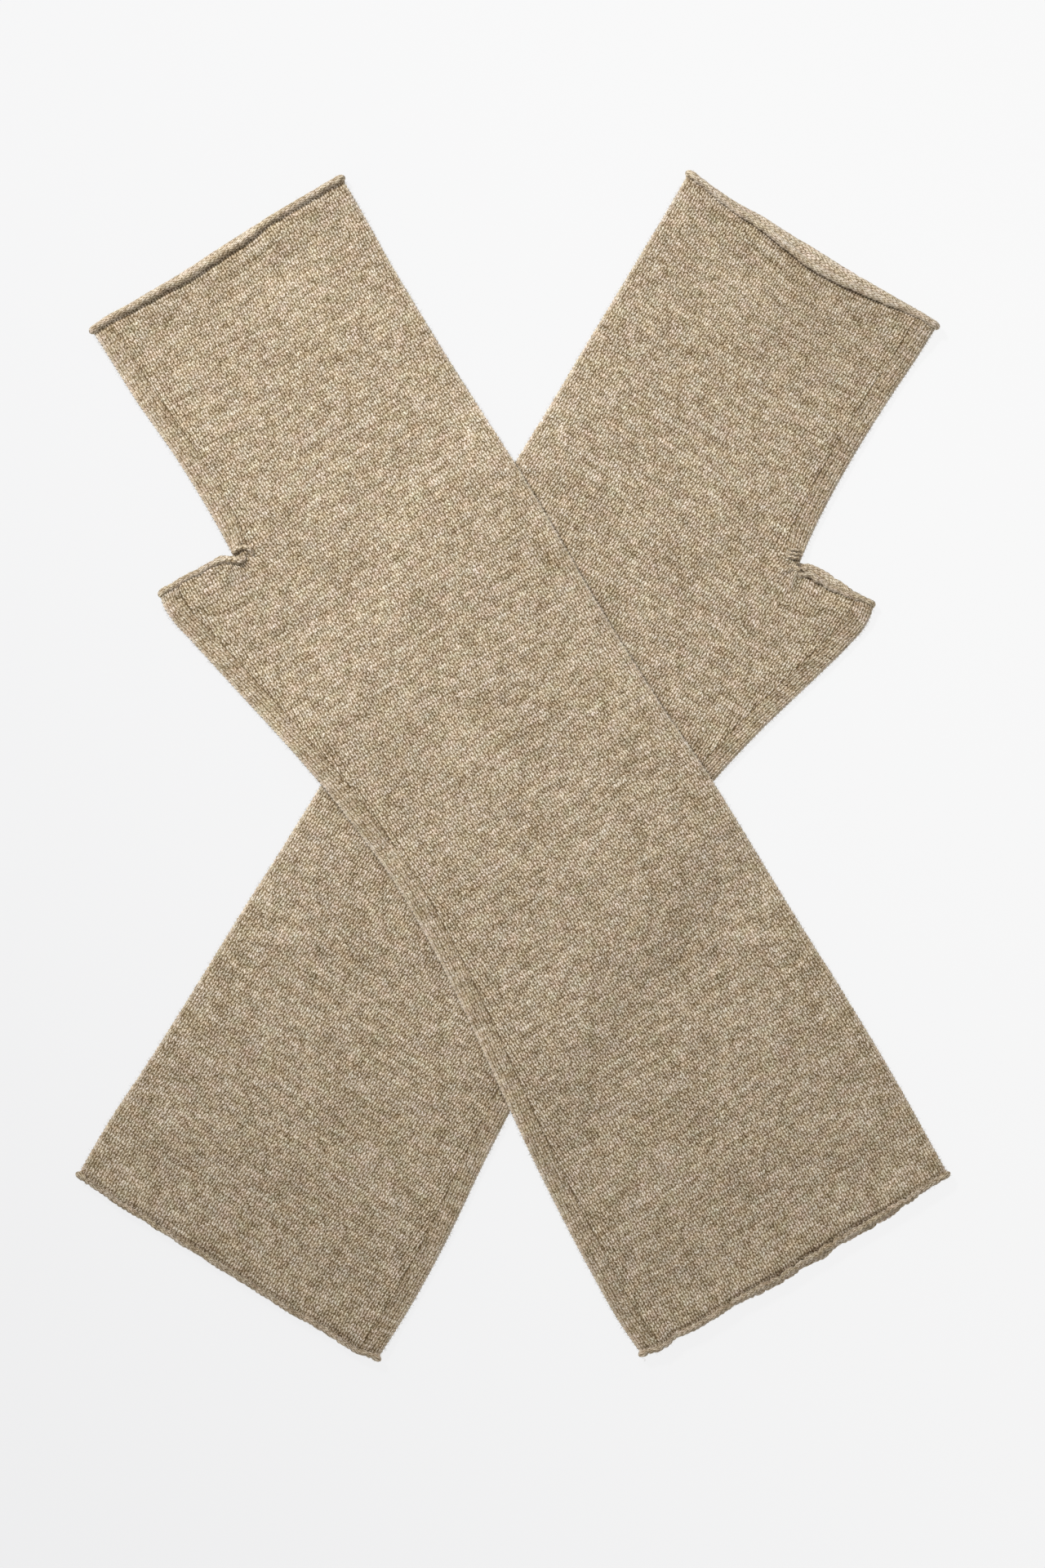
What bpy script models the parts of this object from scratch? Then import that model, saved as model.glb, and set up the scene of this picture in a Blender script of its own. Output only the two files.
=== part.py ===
"""A pair of open-fingered knitted mittens, laid flat and crossed, the upper over the lower.

Each mitten is one knitted panel, folded along the little-finger side and joined along the
thumb side, so it lies as a flattened tube with a short thumb stub. Its three raw edges, at the
hand, the thumb and the arm, curl outwards into soft cords.

Each mitten is worked out flat, in millimetres: "along" runs from the hand end to the arm end,
"across" runs from the folded edge to the seamed edge. It is then turned and placed on the
surface, +Z up, and the mesh is written in metres. The origin is on the surface, under the
middle of the pair.
"""

import math
from collections import namedtuple

import bmesh
import bpy
import numpy as np
from mathutils import Vector

MM = 0.001

# Cloth, in millimetres
WALL = 1.3  # one layer of the knit
LAYER_GAP = 0.4  # air left between the two layers of the laid tube
HALF_TUBE = WALL + LAYER_GAP / 2  # half the thickness of the laid tube
EDGE_ROUND = 1.6  # how far in from a side edge the tube is rounded
SEAT_GAP = 0.3  # clearance between one piece and the next

# Drape of the upper mitten over the lower one
OVERHANG = 6.0  # how far past the lower mitten's outline the upper one stays up
SLOPE_RUN = 17.0  # how far it then takes to come down to the surface

# Where the mouths lift over their own curled edges
MOUTH_LIFT_RUN = 13.0
THUMB_LIFT_RUN = 10.0
MOUTH_EASE = 42.0  # over this length the rows even out behind a mouth that isn't square

# Columns of the mesh, across one layer
MAIN_COLUMNS = 9
THUMB_COLUMNS = 3
EDGE_TURNS = tuple(math.radians(a) for a in (45.0, 0.0, -45.0))
CURL_SIDES = 8

# Rows of the mesh: distances from a mouth, closer together where the cloth lifts
NEAR_MOUTH = (0.0, 2.6, 6.2, 11.0)
ROW_STEP = 11.5

Curl = namedtuple("Curl", "radius slot")  # cord radius, half the slot between its two runs
HAND_CURL = Curl(radius=1.45, slot=0.12)
ARM_CURL = Curl(radius=1.3, slot=0.12)
THUMB_CURL = Curl(radius=1.05, slot=0.1)

# Outline of each mitten: at a station along it, where the folded and the seamed edge run
Edge = namedtuple("Edge", "station fold seam")
# How far a mouth's line departs from square, at a share of the way across: "line" for the
# cord itself, "dip" for how much further in the upper layer's cord lies than the lower one's
Mouth = namedtuple("Mouth", "share line dip")

Mitten = namedtuple(
    "Mitten", "name corner lean thumb_way hand_part arm_part hand_mouth arm_mouth thumb_mouth"
)

UPPER = Mitten(
    name="upper",
    corner=(-53.1, 179.6),
    lean=math.radians(31.4),
    thumb_way=-1,
    hand_part=(
        Edge(-1.2, -0.7, 89.6),
        Edge(12.0, -0.6, 89.5),
        Edge(26.0, 0.0, 89.3),
        Edge(45.0, 0.3, 88.1),
        Edge(64.0, 0.3, 87.9),
        Edge(76.0, 0.1, 88.3),
        Edge(82.0, 0.0, 88.7),
    ),
    arm_part=(
        Edge(78.6, 0.1, 113.6),
        Edge(84.0, 0.0, 115.0),
        Edge(89.0, -0.1, 114.9),
        Edge(97.0, -0.3, 113.3),
        Edge(120.0, -0.4, 108.8),
        Edge(145.0, 0.2, 103.9),
        Edge(160.0, 0.4, 101.5),
        Edge(175.0, 0.2, 99.9),
        Edge(192.0, -0.2, 98.6),
        Edge(215.0, -1.3, 99.0),
        Edge(240.0, -1.5, 101.1),
        Edge(265.0, -1.5, 104.0),
        Edge(295.0, -1.9, 107.3),
        Edge(325.0, -1.6, 109.4),
        Edge(345.0, -0.8, 110.0),
        Edge(359.5, -0.1, 109.0),
    ),
    hand_mouth=(
        Mouth(0.0, -1.0, 0.0),
        Mouth(0.2, -1.5, 0.0),
        Mouth(0.34, -1.6, 1.7),
        Mouth(0.5, -1.3, 1.9),
        Mouth(0.64, -1.2, 0.9),
        Mouth(0.8, -1.2, 0.0),
        Mouth(1.0, -0.8, 0.0),
    ),
    arm_mouth=(
        Mouth(0.0, 358.3, 0.0),
        Mouth(0.2, 359.5, 0.0),
        Mouth(0.45, 359.6, 0.0),
        Mouth(0.7, 358.8, 0.0),
        Mouth(0.88, 358.0, 0.0),
        Mouth(1.0, 356.8, 0.0),
    ),
    thumb_mouth=(
        Mouth(0.0, 79.6, 0.0),
        Mouth(0.35, 79.1, 0.3),
        Mouth(0.7, 78.7, 0.0),
        Mouth(1.0, 78.6, 0.0),
    ),
)

LOWER = Mitten(
    name="lower",
    corner=(55.0, 181.0),
    lean=math.radians(-31.4),
    thumb_way=1,
    hand_part=(
        Edge(-0.6, -1.5, 88.5),
        Edge(12.0, -1.2, 88.4),
        Edge(26.0, -1.1, 87.8),
        Edge(45.0, -1.0, 87.5),
        Edge(64.0, -0.9, 88.1),
        Edge(78.0, -0.7, 89.4),
        Edge(86.0, -0.7, 90.6),
    ),
    arm_part=(
        Edge(82.6, -0.7, 116.1),
        Edge(88.0, -0.7, 117.6),
        Edge(92.0, -0.7, 117.7),
        Edge(98.0, -0.7, 116.6),
        Edge(115.0, -0.8, 112.3),
        Edge(135.0, -0.7, 107.0),
        Edge(155.0, -0.4, 102.9),
        Edge(175.0, -0.1, 100.2),
        Edge(192.0, 0.0, 98.7),
        Edge(215.0, 0.0, 98.2),
        Edge(240.0, -0.1, 99.0),
        Edge(265.0, -0.5, 101.5),
        Edge(292.0, -0.6, 103.6),
        Edge(320.0, -1.0, 106.4),
        Edge(343.0, -1.8, 107.4),
        Edge(362.0, -1.2, 107.0),
    ),
    hand_mouth=(
        Mouth(0.0, -0.8, 0.0),
        Mouth(0.2, -0.3, 0.2),
        Mouth(0.33, -0.2, 1.9),
        Mouth(0.46, -0.2, 4.2),
        Mouth(0.57, -0.1, 4.3),
        Mouth(0.72, -0.2, 2.6),
        Mouth(0.86, -0.5, 0.8),
        Mouth(1.0, 0.2, 0.0),
    ),
    arm_mouth=(
        Mouth(0.0, 360.8, 0.0),
        Mouth(0.2, 361.6, 0.0),
        Mouth(0.5, 362.2, 0.0),
        Mouth(0.8, 362.2, 0.0),
        Mouth(1.0, 361.2, 0.0),
    ),
    thumb_mouth=(
        Mouth(0.0, 83.0, 0.0),
        Mouth(0.3, 82.7, 2.3),
        Mouth(0.6, 82.5, 1.5),
        Mouth(0.85, 82.7, 0.2),
        Mouth(1.0, 82.9, 0.0),
    ),
)

YARN = (0.47, 0.385, 0.285, 1.0)
YARN_ROUGHNESS = 0.95

# One point of a ring round the flattened tube: its column, its turn (a quarter turn up on the
# upper layer, 0 at a side edge, a quarter turn down on the lower layer) and the side edge that
# it rounds (-1 on the folded side, 1 on the seamed side, 0 on a layer)
RingPoint = namedtuple("RingPoint", "column turn edge")


def smooth_read(table, column, station):
    """Read one column of a table at a station, on a smooth curve through its rows."""
    places = np.array([row[0] for row in table], float)
    values = np.array([getattr(row, column) for row in table], float)
    slopes = np.gradient(values, places)
    station = min(max(station, places[0]), places[-1])
    i = min(int(np.searchsorted(places, station, side="right")) - 1, len(places) - 2)
    span = places[i + 1] - places[i]
    t = (station - places[i]) / span
    return float(
        values[i] * (1 + 2 * t) * (1 - t) ** 2
        + values[i + 1] * t * t * (3 - 2 * t)
        + span * t * (1 - t) * (slopes[i] * (1 - t) - slopes[i + 1] * t)
    )


def fade(distance, run):
    """1 at no distance, easing down to 0 at the end of the run."""
    share = min(max(distance / run, 0.0), 1.0)
    return 0.5 + 0.5 * math.cos(math.pi * share)


def crotch(mitten):
    """Where the hand part's seamed edge meets the thumb mouth: (along, across)."""
    along = mitten.thumb_mouth[0].line + 2 * THUMB_CURL.radius + SEAT_GAP
    return along, smooth_read(mitten.hand_part, "seam", along)


def curl_height(curl):
    """Full height of a mouth's curled edge: its two runs, one on the other."""
    return 4 * curl.radius + 2 * curl.slot


def mouth_lift(curl):
    """How far the tube's underside is raised to meet the middle of the curled edge."""
    return curl_height(curl) / 2 - HALF_TUBE


def directions(mitten):
    """Unit vectors on the surface: along the mitten to its arm end, and across to its thumb."""
    along = Vector((math.sin(mitten.lean), -math.cos(mitten.lean), 0.0))
    across = Vector((math.cos(mitten.lean), math.sin(mitten.lean), 0.0)) * mitten.thumb_way
    return along, across


def place(mitten, along, across, height):
    """A point of the flat mitten, put in its place on the surface, in millimetres."""
    lengthways, sideways = directions(mitten)
    corner = Vector((mitten.corner[0], mitten.corner[1], height))
    return corner + lengthways * along + sideways * across


def past_outline(mitten, spot):
    """How far a place on the surface lies outside a mitten's two side edges."""
    lengthways, sideways = directions(mitten)
    from_corner = spot - Vector((mitten.corner[0], mitten.corner[1], spot.z))
    along, across = from_corner.dot(lengthways), from_corner.dot(sideways)
    part = mitten.arm_part if along > crotch(mitten)[0] else mitten.hand_part
    fold = smooth_read(part, "fold", along)
    seam = smooth_read(part, "seam", along)
    return max(fold - across, across - seam, 0.0)


def underside(mitten, along, across):
    """Height of the laid tube's underside above the surface."""
    thumb_along, thumb_across = crotch(mitten)
    hand_end = mitten.hand_mouth[0].line + 2 * HAND_CURL.radius
    arm_end = mitten.arm_mouth[0].line - 2 * ARM_CURL.radius
    beside = max(thumb_across - across, 0.0)
    from_thumb = math.hypot(along - thumb_along, beside)
    height = max(
        mouth_lift(HAND_CURL) * fade(along - hand_end, MOUTH_LIFT_RUN),
        mouth_lift(ARM_CURL) * fade(arm_end - along, MOUTH_LIFT_RUN),
        mouth_lift(THUMB_CURL) * fade(from_thumb, THUMB_LIFT_RUN),
    )
    if mitten is UPPER:
        away = past_outline(LOWER, place(mitten, along, across, 0.0))
        over = 2 * HALF_TUBE + SEAT_GAP
        height += over * fade(away - OVERHANG, SLOPE_RUN)
    return height


def crotch_share(mitten, along):
    """Share of the arm part's width that the main columns take, the thumb's taking the rest."""
    start = crotch(mitten)[0]
    thumb_root = crotch(mitten)[1] - 2 * EDGE_ROUND
    wide = mitten.arm_part[0].seam - 2 * EDGE_ROUND
    even = MAIN_COLUMNS / (MAIN_COLUMNS + THUMB_COLUMNS)
    return even + (thumb_root / wide - even) * fade(along - start, 70.0)


def upper_half(first, last):
    """The upper layer's columns from one to another."""
    return [RingPoint(c, math.pi / 2, 0) for c in range(first, last + 1)]


def lower_half(points):
    """The same columns on the lower layer, in the opposite order."""
    return [RingPoint(p.column, -p.turn, p.edge) for p in reversed(points)]


def ring(first, last):
    """All the way round a tube or a mouth: near side's turns, upper layer, far side's, lower."""
    upper = upper_half(first, last)
    near = [RingPoint(first, -turn, -1) for turn in EDGE_TURNS]
    far = [RingPoint(last, turn, 1) for turn in EDGE_TURNS]
    return near + upper + far + lower_half(upper)


def across_share(mitten, column, along, in_arm):
    """A column's share of the way across the tube's flat, at a place along it."""
    if not in_arm:
        return column / MAIN_COLUMNS
    main = crotch_share(mitten, along)
    if column <= MAIN_COLUMNS:
        return main * column / MAIN_COLUMNS
    return main + (1 - main) * (column - MAIN_COLUMNS) / THUMB_COLUMNS


def mouth_edge(mouth, curl, share, turn, sense):
    """Where the panel ends behind a mouth's cord, at a share across and a turn round it."""
    upper_part = (1 + math.sin(turn)) / 2
    line = smooth_read(mouth, "line", share)
    dip = smooth_read(mouth, "dip", share) * upper_part
    return line + sense * (dip + 2 * curl.radius + SEAT_GAP)


def row_place(mitten, station, point, in_arm):
    """Along and across of a ring point on a row, with the rows bent to the mouths' lines."""
    share = across_share(mitten, point.column, station, in_arm)
    along = station
    hand_edge = mouth_edge(mitten.hand_mouth, HAND_CURL, share, point.turn, 1)
    along += hand_edge * fade(station, MOUTH_EASE)
    arm_end = mitten.arm_mouth[0].line
    arm_edge = mouth_edge(mitten.arm_mouth, ARM_CURL, share, point.turn, -1)
    along += (arm_edge - arm_end) * fade(arm_end - station, MOUTH_EASE)
    if in_arm and point.column > MAIN_COLUMNS:
        thumb_share = (point.column - MAIN_COLUMNS) / THUMB_COLUMNS
        thumb_edge = mouth_edge(mitten.thumb_mouth, THUMB_CURL, thumb_share, point.turn, 1)
        start = crotch(mitten)[0]
        along += (thumb_edge - start) * fade(station - start, MOUTH_EASE)
    part = mitten.arm_part if in_arm else mitten.hand_part
    fold = smooth_read(part, "fold", along)
    seam = smooth_read(part, "seam", along)
    across = fold + EDGE_ROUND + share * (seam - fold - 2 * EDGE_ROUND)
    return along, across


def tube_point(mitten, station, point, in_arm, inset):
    """A point of the tube's skin: the outside with no inset, the inside with the wall's."""
    along, across = row_place(mitten, station, point, in_arm)
    middle = underside(mitten, along, across) + HALF_TUBE
    bulge = max(EDGE_ROUND - inset, LAYER_GAP / 2)
    across += point.edge * bulge * math.cos(point.turn)
    height = middle + (HALF_TUBE - inset) * math.sin(point.turn)
    return place(mitten, along, across, height)


def even_steps(start, end, step):
    """Stations from a start to an end, as near to the step as comes out even."""
    count = max(1, round((end - start) / step))
    return [start + (end - start) * i / count for i in range(1, count)]


def row_stations(mitten):
    """Stations of the rows on the hand part and on the arm part, which share the crotch row."""
    start = crotch(mitten)[0]
    end = mitten.arm_mouth[0].line
    hand = list(NEAR_MOUTH)
    hand += even_steps(NEAR_MOUTH[-1], start - NEAR_MOUTH[-2], ROW_STEP)
    hand += [start - d for d in reversed(NEAR_MOUTH[:-1])]
    arm = [start + d for d in NEAR_MOUTH]
    arm += even_steps(arm[-1], end - NEAR_MOUTH[-1], ROW_STEP)
    arm += [end - d for d in reversed(NEAR_MOUTH)]
    return hand, arm


def join_rows(skin, rows):
    """Fill a skin with faces between each row of vertices and the next."""
    for row, following in zip(rows, rows[1:]):
        for i in range(len(row)):
            j = (i + 1) % len(row)
            skin.append((row[i], row[j], following[j], following[i]))


def tube_skin(mesh, mitten, inset):
    """One skin of the tube: its faces, and its hand, arm and thumb mouths as loops."""
    hand_ring = ring(0, MAIN_COLUMNS)
    arm_ring = ring(0, MAIN_COLUMNS + THUMB_COLUMNS)
    hand_stations, arm_stations = row_stations(mitten)
    rows, shared = [], {}
    for station in hand_stations:
        points = [tube_point(mitten, station, p, False, inset) for p in hand_ring]
        rows.append([mesh.verts.new(p * MM) for p in points])
    for vert, point in zip(rows[-1], hand_ring):
        if point.edge != 1:
            shared[point] = vert
    arm_rows = []
    for station in arm_stations:
        row = []
        for point in arm_ring:
            if station == arm_stations[0] and point in shared:
                row.append(shared[point])
            else:
                where = tube_point(mitten, station, point, True, inset)
                row.append(mesh.verts.new(where * MM))
        arm_rows.append(row)
    faces = []
    join_rows(faces, rows)
    join_rows(faces, arm_rows)
    upper_root = arm_ring.index(RingPoint(MAIN_COLUMNS, math.pi / 2, 0))
    lower_root = arm_ring.index(RingPoint(MAIN_COLUMNS, -math.pi / 2, 0))
    thumb_loop = arm_rows[0][upper_root : lower_root + 1]
    crotch_edge = [v for v, p in zip(rows[-1], hand_ring) if p.edge == 1]
    thumb_loop += list(reversed(crotch_edge))
    return faces, (rows[0], arm_rows[-1], thumb_loop)


def build_tube(mitten):
    """The folded and joined panel: an outer and an inner skin, bridged round each mouth."""
    mesh = bmesh.new()
    outer_faces, outer_mouths = tube_skin(mesh, mitten, 0.0)
    inner_faces, inner_mouths = tube_skin(mesh, mitten, WALL)
    for corners in outer_faces:
        mesh.faces.new(corners)
    for corners in inner_faces:
        mesh.faces.new(tuple(reversed(corners)))
    for outer, inner in zip(outer_mouths, inner_mouths):
        for i in range(len(outer)):
            j = (i + 1) % len(outer)
            mesh.faces.new((outer[i], outer[j], inner[j], inner[i]))
    return mesh


def cord_loop(mitten, curl, columns, station, in_arm, sense, limits):
    """Centre line of a mouth's curled edge, as places with the way out at each of them.

    It follows the panel's own edge at that mouth, just clear of it, between the two limits
    across the mitten.
    """
    half = curl.radius + curl.slot
    inset = half + curl.radius
    loop = []
    for point in ring(*columns):
        on_layer = point._replace(edge=0)
        edge_along, edge_across = row_place(mitten, station, on_layer, in_arm)
        along = edge_along - sense * (curl.radius + SEAT_GAP)
        across = min(max(edge_across, limits[0] + inset), limits[1] - inset)
        across += point.edge * half * math.cos(point.turn)
        height = curl_height(curl) / 2 + half * math.sin(point.turn)
        centre = place(mitten, along, across, height)
        outward = directions(mitten)[1] * point.edge * math.cos(point.turn)
        outward += Vector((0.0, 0.0, math.sin(point.turn)))
        loop.append((centre, outward.normalized()))
    return loop


def build_cord(mitten, loop, curl):
    """Sweep the curled edge's round section along its centre line."""
    mesh = bmesh.new()
    lengthways = directions(mitten)[0]
    corner_reach = curl.radius / math.cos(math.pi / CURL_SIDES)
    rows = []
    for centre, outward in loop:
        row = []
        for k in range(CURL_SIDES):
            turn = 2 * math.pi * (k + 0.5) / CURL_SIDES
            swing = lengthways * math.cos(turn) + outward * math.sin(turn)
            row.append(mesh.verts.new((centre + swing * corner_reach) * MM))
        rows.append(row)
    faces = []
    join_rows(faces, rows + [rows[0]])
    for corners in faces:
        mesh.faces.new(corners)
    return mesh


def yarn_material(name):
    """Matt heathered wool."""
    material = bpy.data.materials.new(name)
    material.use_nodes = True
    shader = material.node_tree.nodes["Principled BSDF"]
    shader.inputs["Base Color"].default_value = YARN
    shader.inputs["Roughness"].default_value = YARN_ROUGHNESS
    shader.inputs["Metallic"].default_value = 0.0
    material.diffuse_color = YARN
    return material


def add_piece(name, mesh, parent):
    """Put a finished mesh in the scene as a named piece of its mitten."""
    bmesh.ops.recalc_face_normals(mesh, faces=mesh.faces[:])
    data = bpy.data.meshes.new(name)
    mesh.to_mesh(data)
    mesh.free()
    data.shade_smooth()
    data.set_sharp_from_angle(angle=math.radians(50.0))
    data.materials.append(yarn_material(name + "_wool"))
    piece = bpy.data.objects.new(name, data)
    piece.parent = parent
    bpy.context.scene.collection.objects.link(piece)
    return piece


def edge_limits(part, station):
    """The folded and the seamed edge at a station, as limits for a curled edge."""
    return smooth_read(part, "fold", station), smooth_read(part, "seam", station)


def build_mitten(mitten):
    """One mitten: its panel and the three curled edges, under an empty of its own."""
    holder = bpy.data.objects.new(mitten.name + "_mitten", None)
    bpy.context.scene.collection.objects.link(holder)
    add_piece(mitten.name + "_panel", build_tube(mitten), holder)

    last = MAIN_COLUMNS + THUMB_COLUMNS
    arm_end = mitten.arm_mouth[0].line
    thumb_line = mitten.thumb_mouth[0].line
    thumb_root = max(smooth_read(mitten.hand_part, "seam", thumb_line), crotch(mitten)[1])
    hand_limits = edge_limits(mitten.hand_part, mitten.hand_mouth[0].line)
    arm_limits = edge_limits(mitten.arm_part, arm_end)
    thumb_limits = (thumb_root + SEAT_GAP, mitten.arm_part[0].seam)
    curls = (
        ("hand_curl", HAND_CURL, (0, MAIN_COLUMNS), 0.0, False, 1, hand_limits),
        ("arm_curl", ARM_CURL, (0, last), arm_end, True, -1, arm_limits),
        ("thumb_curl", THUMB_CURL, (MAIN_COLUMNS, last), crotch(mitten)[0], True, 1, thumb_limits),
    )
    for name, curl, columns, station, in_arm, sense, limits in curls:
        loop = cord_loop(mitten, curl, columns, station, in_arm, sense, limits)
        add_piece(mitten.name + "_" + name, build_cord(mitten, loop, curl), holder)


def main():
    for thing in list(bpy.data.objects):
        bpy.data.objects.remove(thing, do_unlink=True)
    for mitten in (UPPER, LOWER):
        build_mitten(mitten)


main()
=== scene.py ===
# %% [markdown]
# # A pair of open-fingered mittens
# The real thing is a pair of long knitted wrist warmers that lie flat and crossed. Each one is
# a panel of plain knit, folded along one side and joined along the other, and its raw edges
# curl outwards. This lesson builds them from numbers: first the shape in which the cloth lies,
# then the stitches on it, the curled edges and the seam, and at last the wool, light and camera.

import math
from collections import namedtuple

import bpy
import numpy as np
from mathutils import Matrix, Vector


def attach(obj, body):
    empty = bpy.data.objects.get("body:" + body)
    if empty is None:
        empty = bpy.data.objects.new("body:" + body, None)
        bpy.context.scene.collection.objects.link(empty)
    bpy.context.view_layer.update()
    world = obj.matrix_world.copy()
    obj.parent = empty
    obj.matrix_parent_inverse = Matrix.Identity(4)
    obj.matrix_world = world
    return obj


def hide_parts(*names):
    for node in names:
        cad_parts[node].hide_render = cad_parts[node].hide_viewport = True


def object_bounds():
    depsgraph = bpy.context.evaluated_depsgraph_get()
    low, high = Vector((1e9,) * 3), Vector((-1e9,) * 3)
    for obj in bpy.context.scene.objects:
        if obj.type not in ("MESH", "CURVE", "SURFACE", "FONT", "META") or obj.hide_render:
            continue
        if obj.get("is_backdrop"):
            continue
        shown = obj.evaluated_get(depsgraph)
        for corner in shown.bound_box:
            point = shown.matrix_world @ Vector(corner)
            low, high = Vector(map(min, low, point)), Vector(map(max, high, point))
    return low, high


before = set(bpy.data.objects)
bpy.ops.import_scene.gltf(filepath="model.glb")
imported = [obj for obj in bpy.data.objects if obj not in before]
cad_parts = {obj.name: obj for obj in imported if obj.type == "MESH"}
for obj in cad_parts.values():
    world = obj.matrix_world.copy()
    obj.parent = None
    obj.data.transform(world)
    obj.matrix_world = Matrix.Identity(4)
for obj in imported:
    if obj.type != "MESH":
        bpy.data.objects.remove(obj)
cad_box = [list(corner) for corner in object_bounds()]
print("solids in the frame:", ", ".join(sorted(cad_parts)))

# %% [markdown]
# ## Cloth and gauge
# Knit is counted in wales, the columns of stitches that run to the hand, and in courses, the
# rows across them. On the real cloth a wale is about 1.73 mm wide and a course 1.25 mm long.
# Everything is worked out in millimetres, as a maker would, and turned into metres at the end.

# %% Cloth and gauge
MM = 0.001
WALL = 1.3  # one layer of the knit
LAYER_GAP = 0.4  # air between the two layers of a laid mitten
HALF_TUBE = WALL + LAYER_GAP / 2
EDGE_ROUND = 1.6  # how far in from a side edge the tube is rounded
SEAT_GAP = 0.3  # air between two things that lie on each other
COURSE = 1.25  # length of one course
print("one layer is", WALL, "mm thick and a laid mitten", 2 * HALF_TUBE, "mm")

# %% Sizes of the curled edges
# radius and slot give the curl's height, cord is half its width, seen from above, rough how
# unevenly it lies, lump how far each wale stands out of it, and groove how deep the front layer
# sinks beside it
Curl = namedtuple("Curl", "radius slot cord rough lump groove")
HAND_CURL = Curl(1.45, 0.12, 1.05, 0.07, 0.05, 0.1)
ARM_CURL = Curl(1.3, 0.12, 0.85, 0.12, 0.26, 0.5)
THUMB_CURL = Curl(1.05, 0.1, 0.92, 0.16, 0.15, 0.0)


def curl_height(curl):
    """Full height of a mouth's curled edge: its two runs, one on the other."""
    return 4 * curl.radius + 2 * curl.slot


for part, curl in (("hand", HAND_CURL), ("arm", ARM_CURL), ("thumb", THUMB_CURL)):
    print(f"the {part} end's curl is {curl_height(curl):.2f} mm high")

# %% [markdown]
# ## The outline
# A knitted mitten has no straight cut pieces, so its outline is a table: at a station along
# the mitten, where the folded and the seamed edge run. The mouths have a table of their own,
# because a raw edge is never quite square, and its front layer can dip behind its back layer.
# Tables are easy to read and to change, which is why they were chosen over drawn curves.

# %% Tables with named columns
# corner is where the folded edge meets the hand end on the table, lean the mitten's turn on it,
# thumb_way the side that its thumb is on, and wale the width of one wale
Edge = namedtuple("Edge", "station fold seam")
Mouth = namedtuple("Mouth", "share line dip")
Mitten = namedtuple(
    "Mitten", "name corner lean thumb_way wale hand_part arm_part hand_mouth arm_mouth thumb_mouth"
)


def table(kind, rows):
    """Rows of plain numbers as named rows."""
    return tuple(kind(*row) for row in rows)


print("columns:", ", ".join(Edge._fields), "and", ", ".join(Mouth._fields))

# %% The upper mitten's outline
UPPER = Mitten(
    name="upper",
    corner=(-53.1, 179.6),
    lean=math.radians(31.4),
    thumb_way=-1,
    wale=1.745,
    hand_part=table(
        Edge,
        (
            (-1.2, -0.7, 89.6), (12.0, -0.6, 89.5), (26.0, 0.0, 89.3), (45.0, 0.3, 88.1),
            (64.0, 0.3, 87.9), (76.0, 0.1, 88.3), (82.0, 0.0, 88.7),
        ),
    ),
    arm_part=table(
        Edge,
        (
            (78.6, 0.1, 113.6), (84.0, 0.0, 115.0), (89.0, -0.1, 114.9), (97.0, -0.3, 113.3),
            (120.0, -0.4, 108.8), (145.0, 0.2, 103.9), (160.0, 0.4, 101.5), (175.0, 0.2, 99.9),
            (192.0, -0.2, 98.6), (215.0, -1.3, 99.0), (240.0, -1.5, 101.1), (265.0, -1.5, 104.0),
            (295.0, -1.9, 107.3), (325.0, -1.6, 109.4), (345.0, -0.8, 110.0), (359.5, -0.1, 109.0),
        ),
    ),
    hand_mouth=table(
        Mouth,
        (
            (0.0, -1.0, 0.0), (0.1, -1.1, 0.0), (0.2, -1.4, 0.1), (0.3, -1.7, 0.5),
            (0.38, -1.6, 1.2), (0.5, -1.4, 1.3), (0.62, -1.0, 1.2), (0.74, -1.1, 0.7),
            (0.86, -1.2, 0.4), (0.95, -1.2, 0.0), (1.0, -0.9, 0.0),
        ),
    ),
    arm_mouth=table(
        Mouth,
        (
            (0.0, 358.3, 0.1), (0.1, 359.0, 0.6), (0.2, 359.8, 1.2), (0.29, 359.6, 1.3),
            (0.36, 359.2, 1.0), (0.43, 359.8, 1.3), (0.48, 359.2, 1.0), (0.53, 359.7, 1.2),
            (0.66, 358.9, 1.0), (0.74, 358.2, 0.3), (0.8, 358.4, 0.4), (0.88, 357.7, 0.2),
            (0.905, 357.1, 0.0), (0.93, 357.8, 0.0), (0.97, 357.6, 0.0), (1.0, 356.8, 0.0),
        ),
    ),
    thumb_mouth=table(
        Mouth,
        (
            (0.0, 80.0, 0.5), (0.12, 79.5, 0.7), (0.25, 79.2, 0.5), (0.45, 79.1, 0.1),
            (0.7, 78.8, 0.1), (1.0, 78.7, 0.0),
        ),
    ),
)
print("upper mitten:", UPPER.arm_mouth[0].line, "mm long on its folded side")

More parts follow.
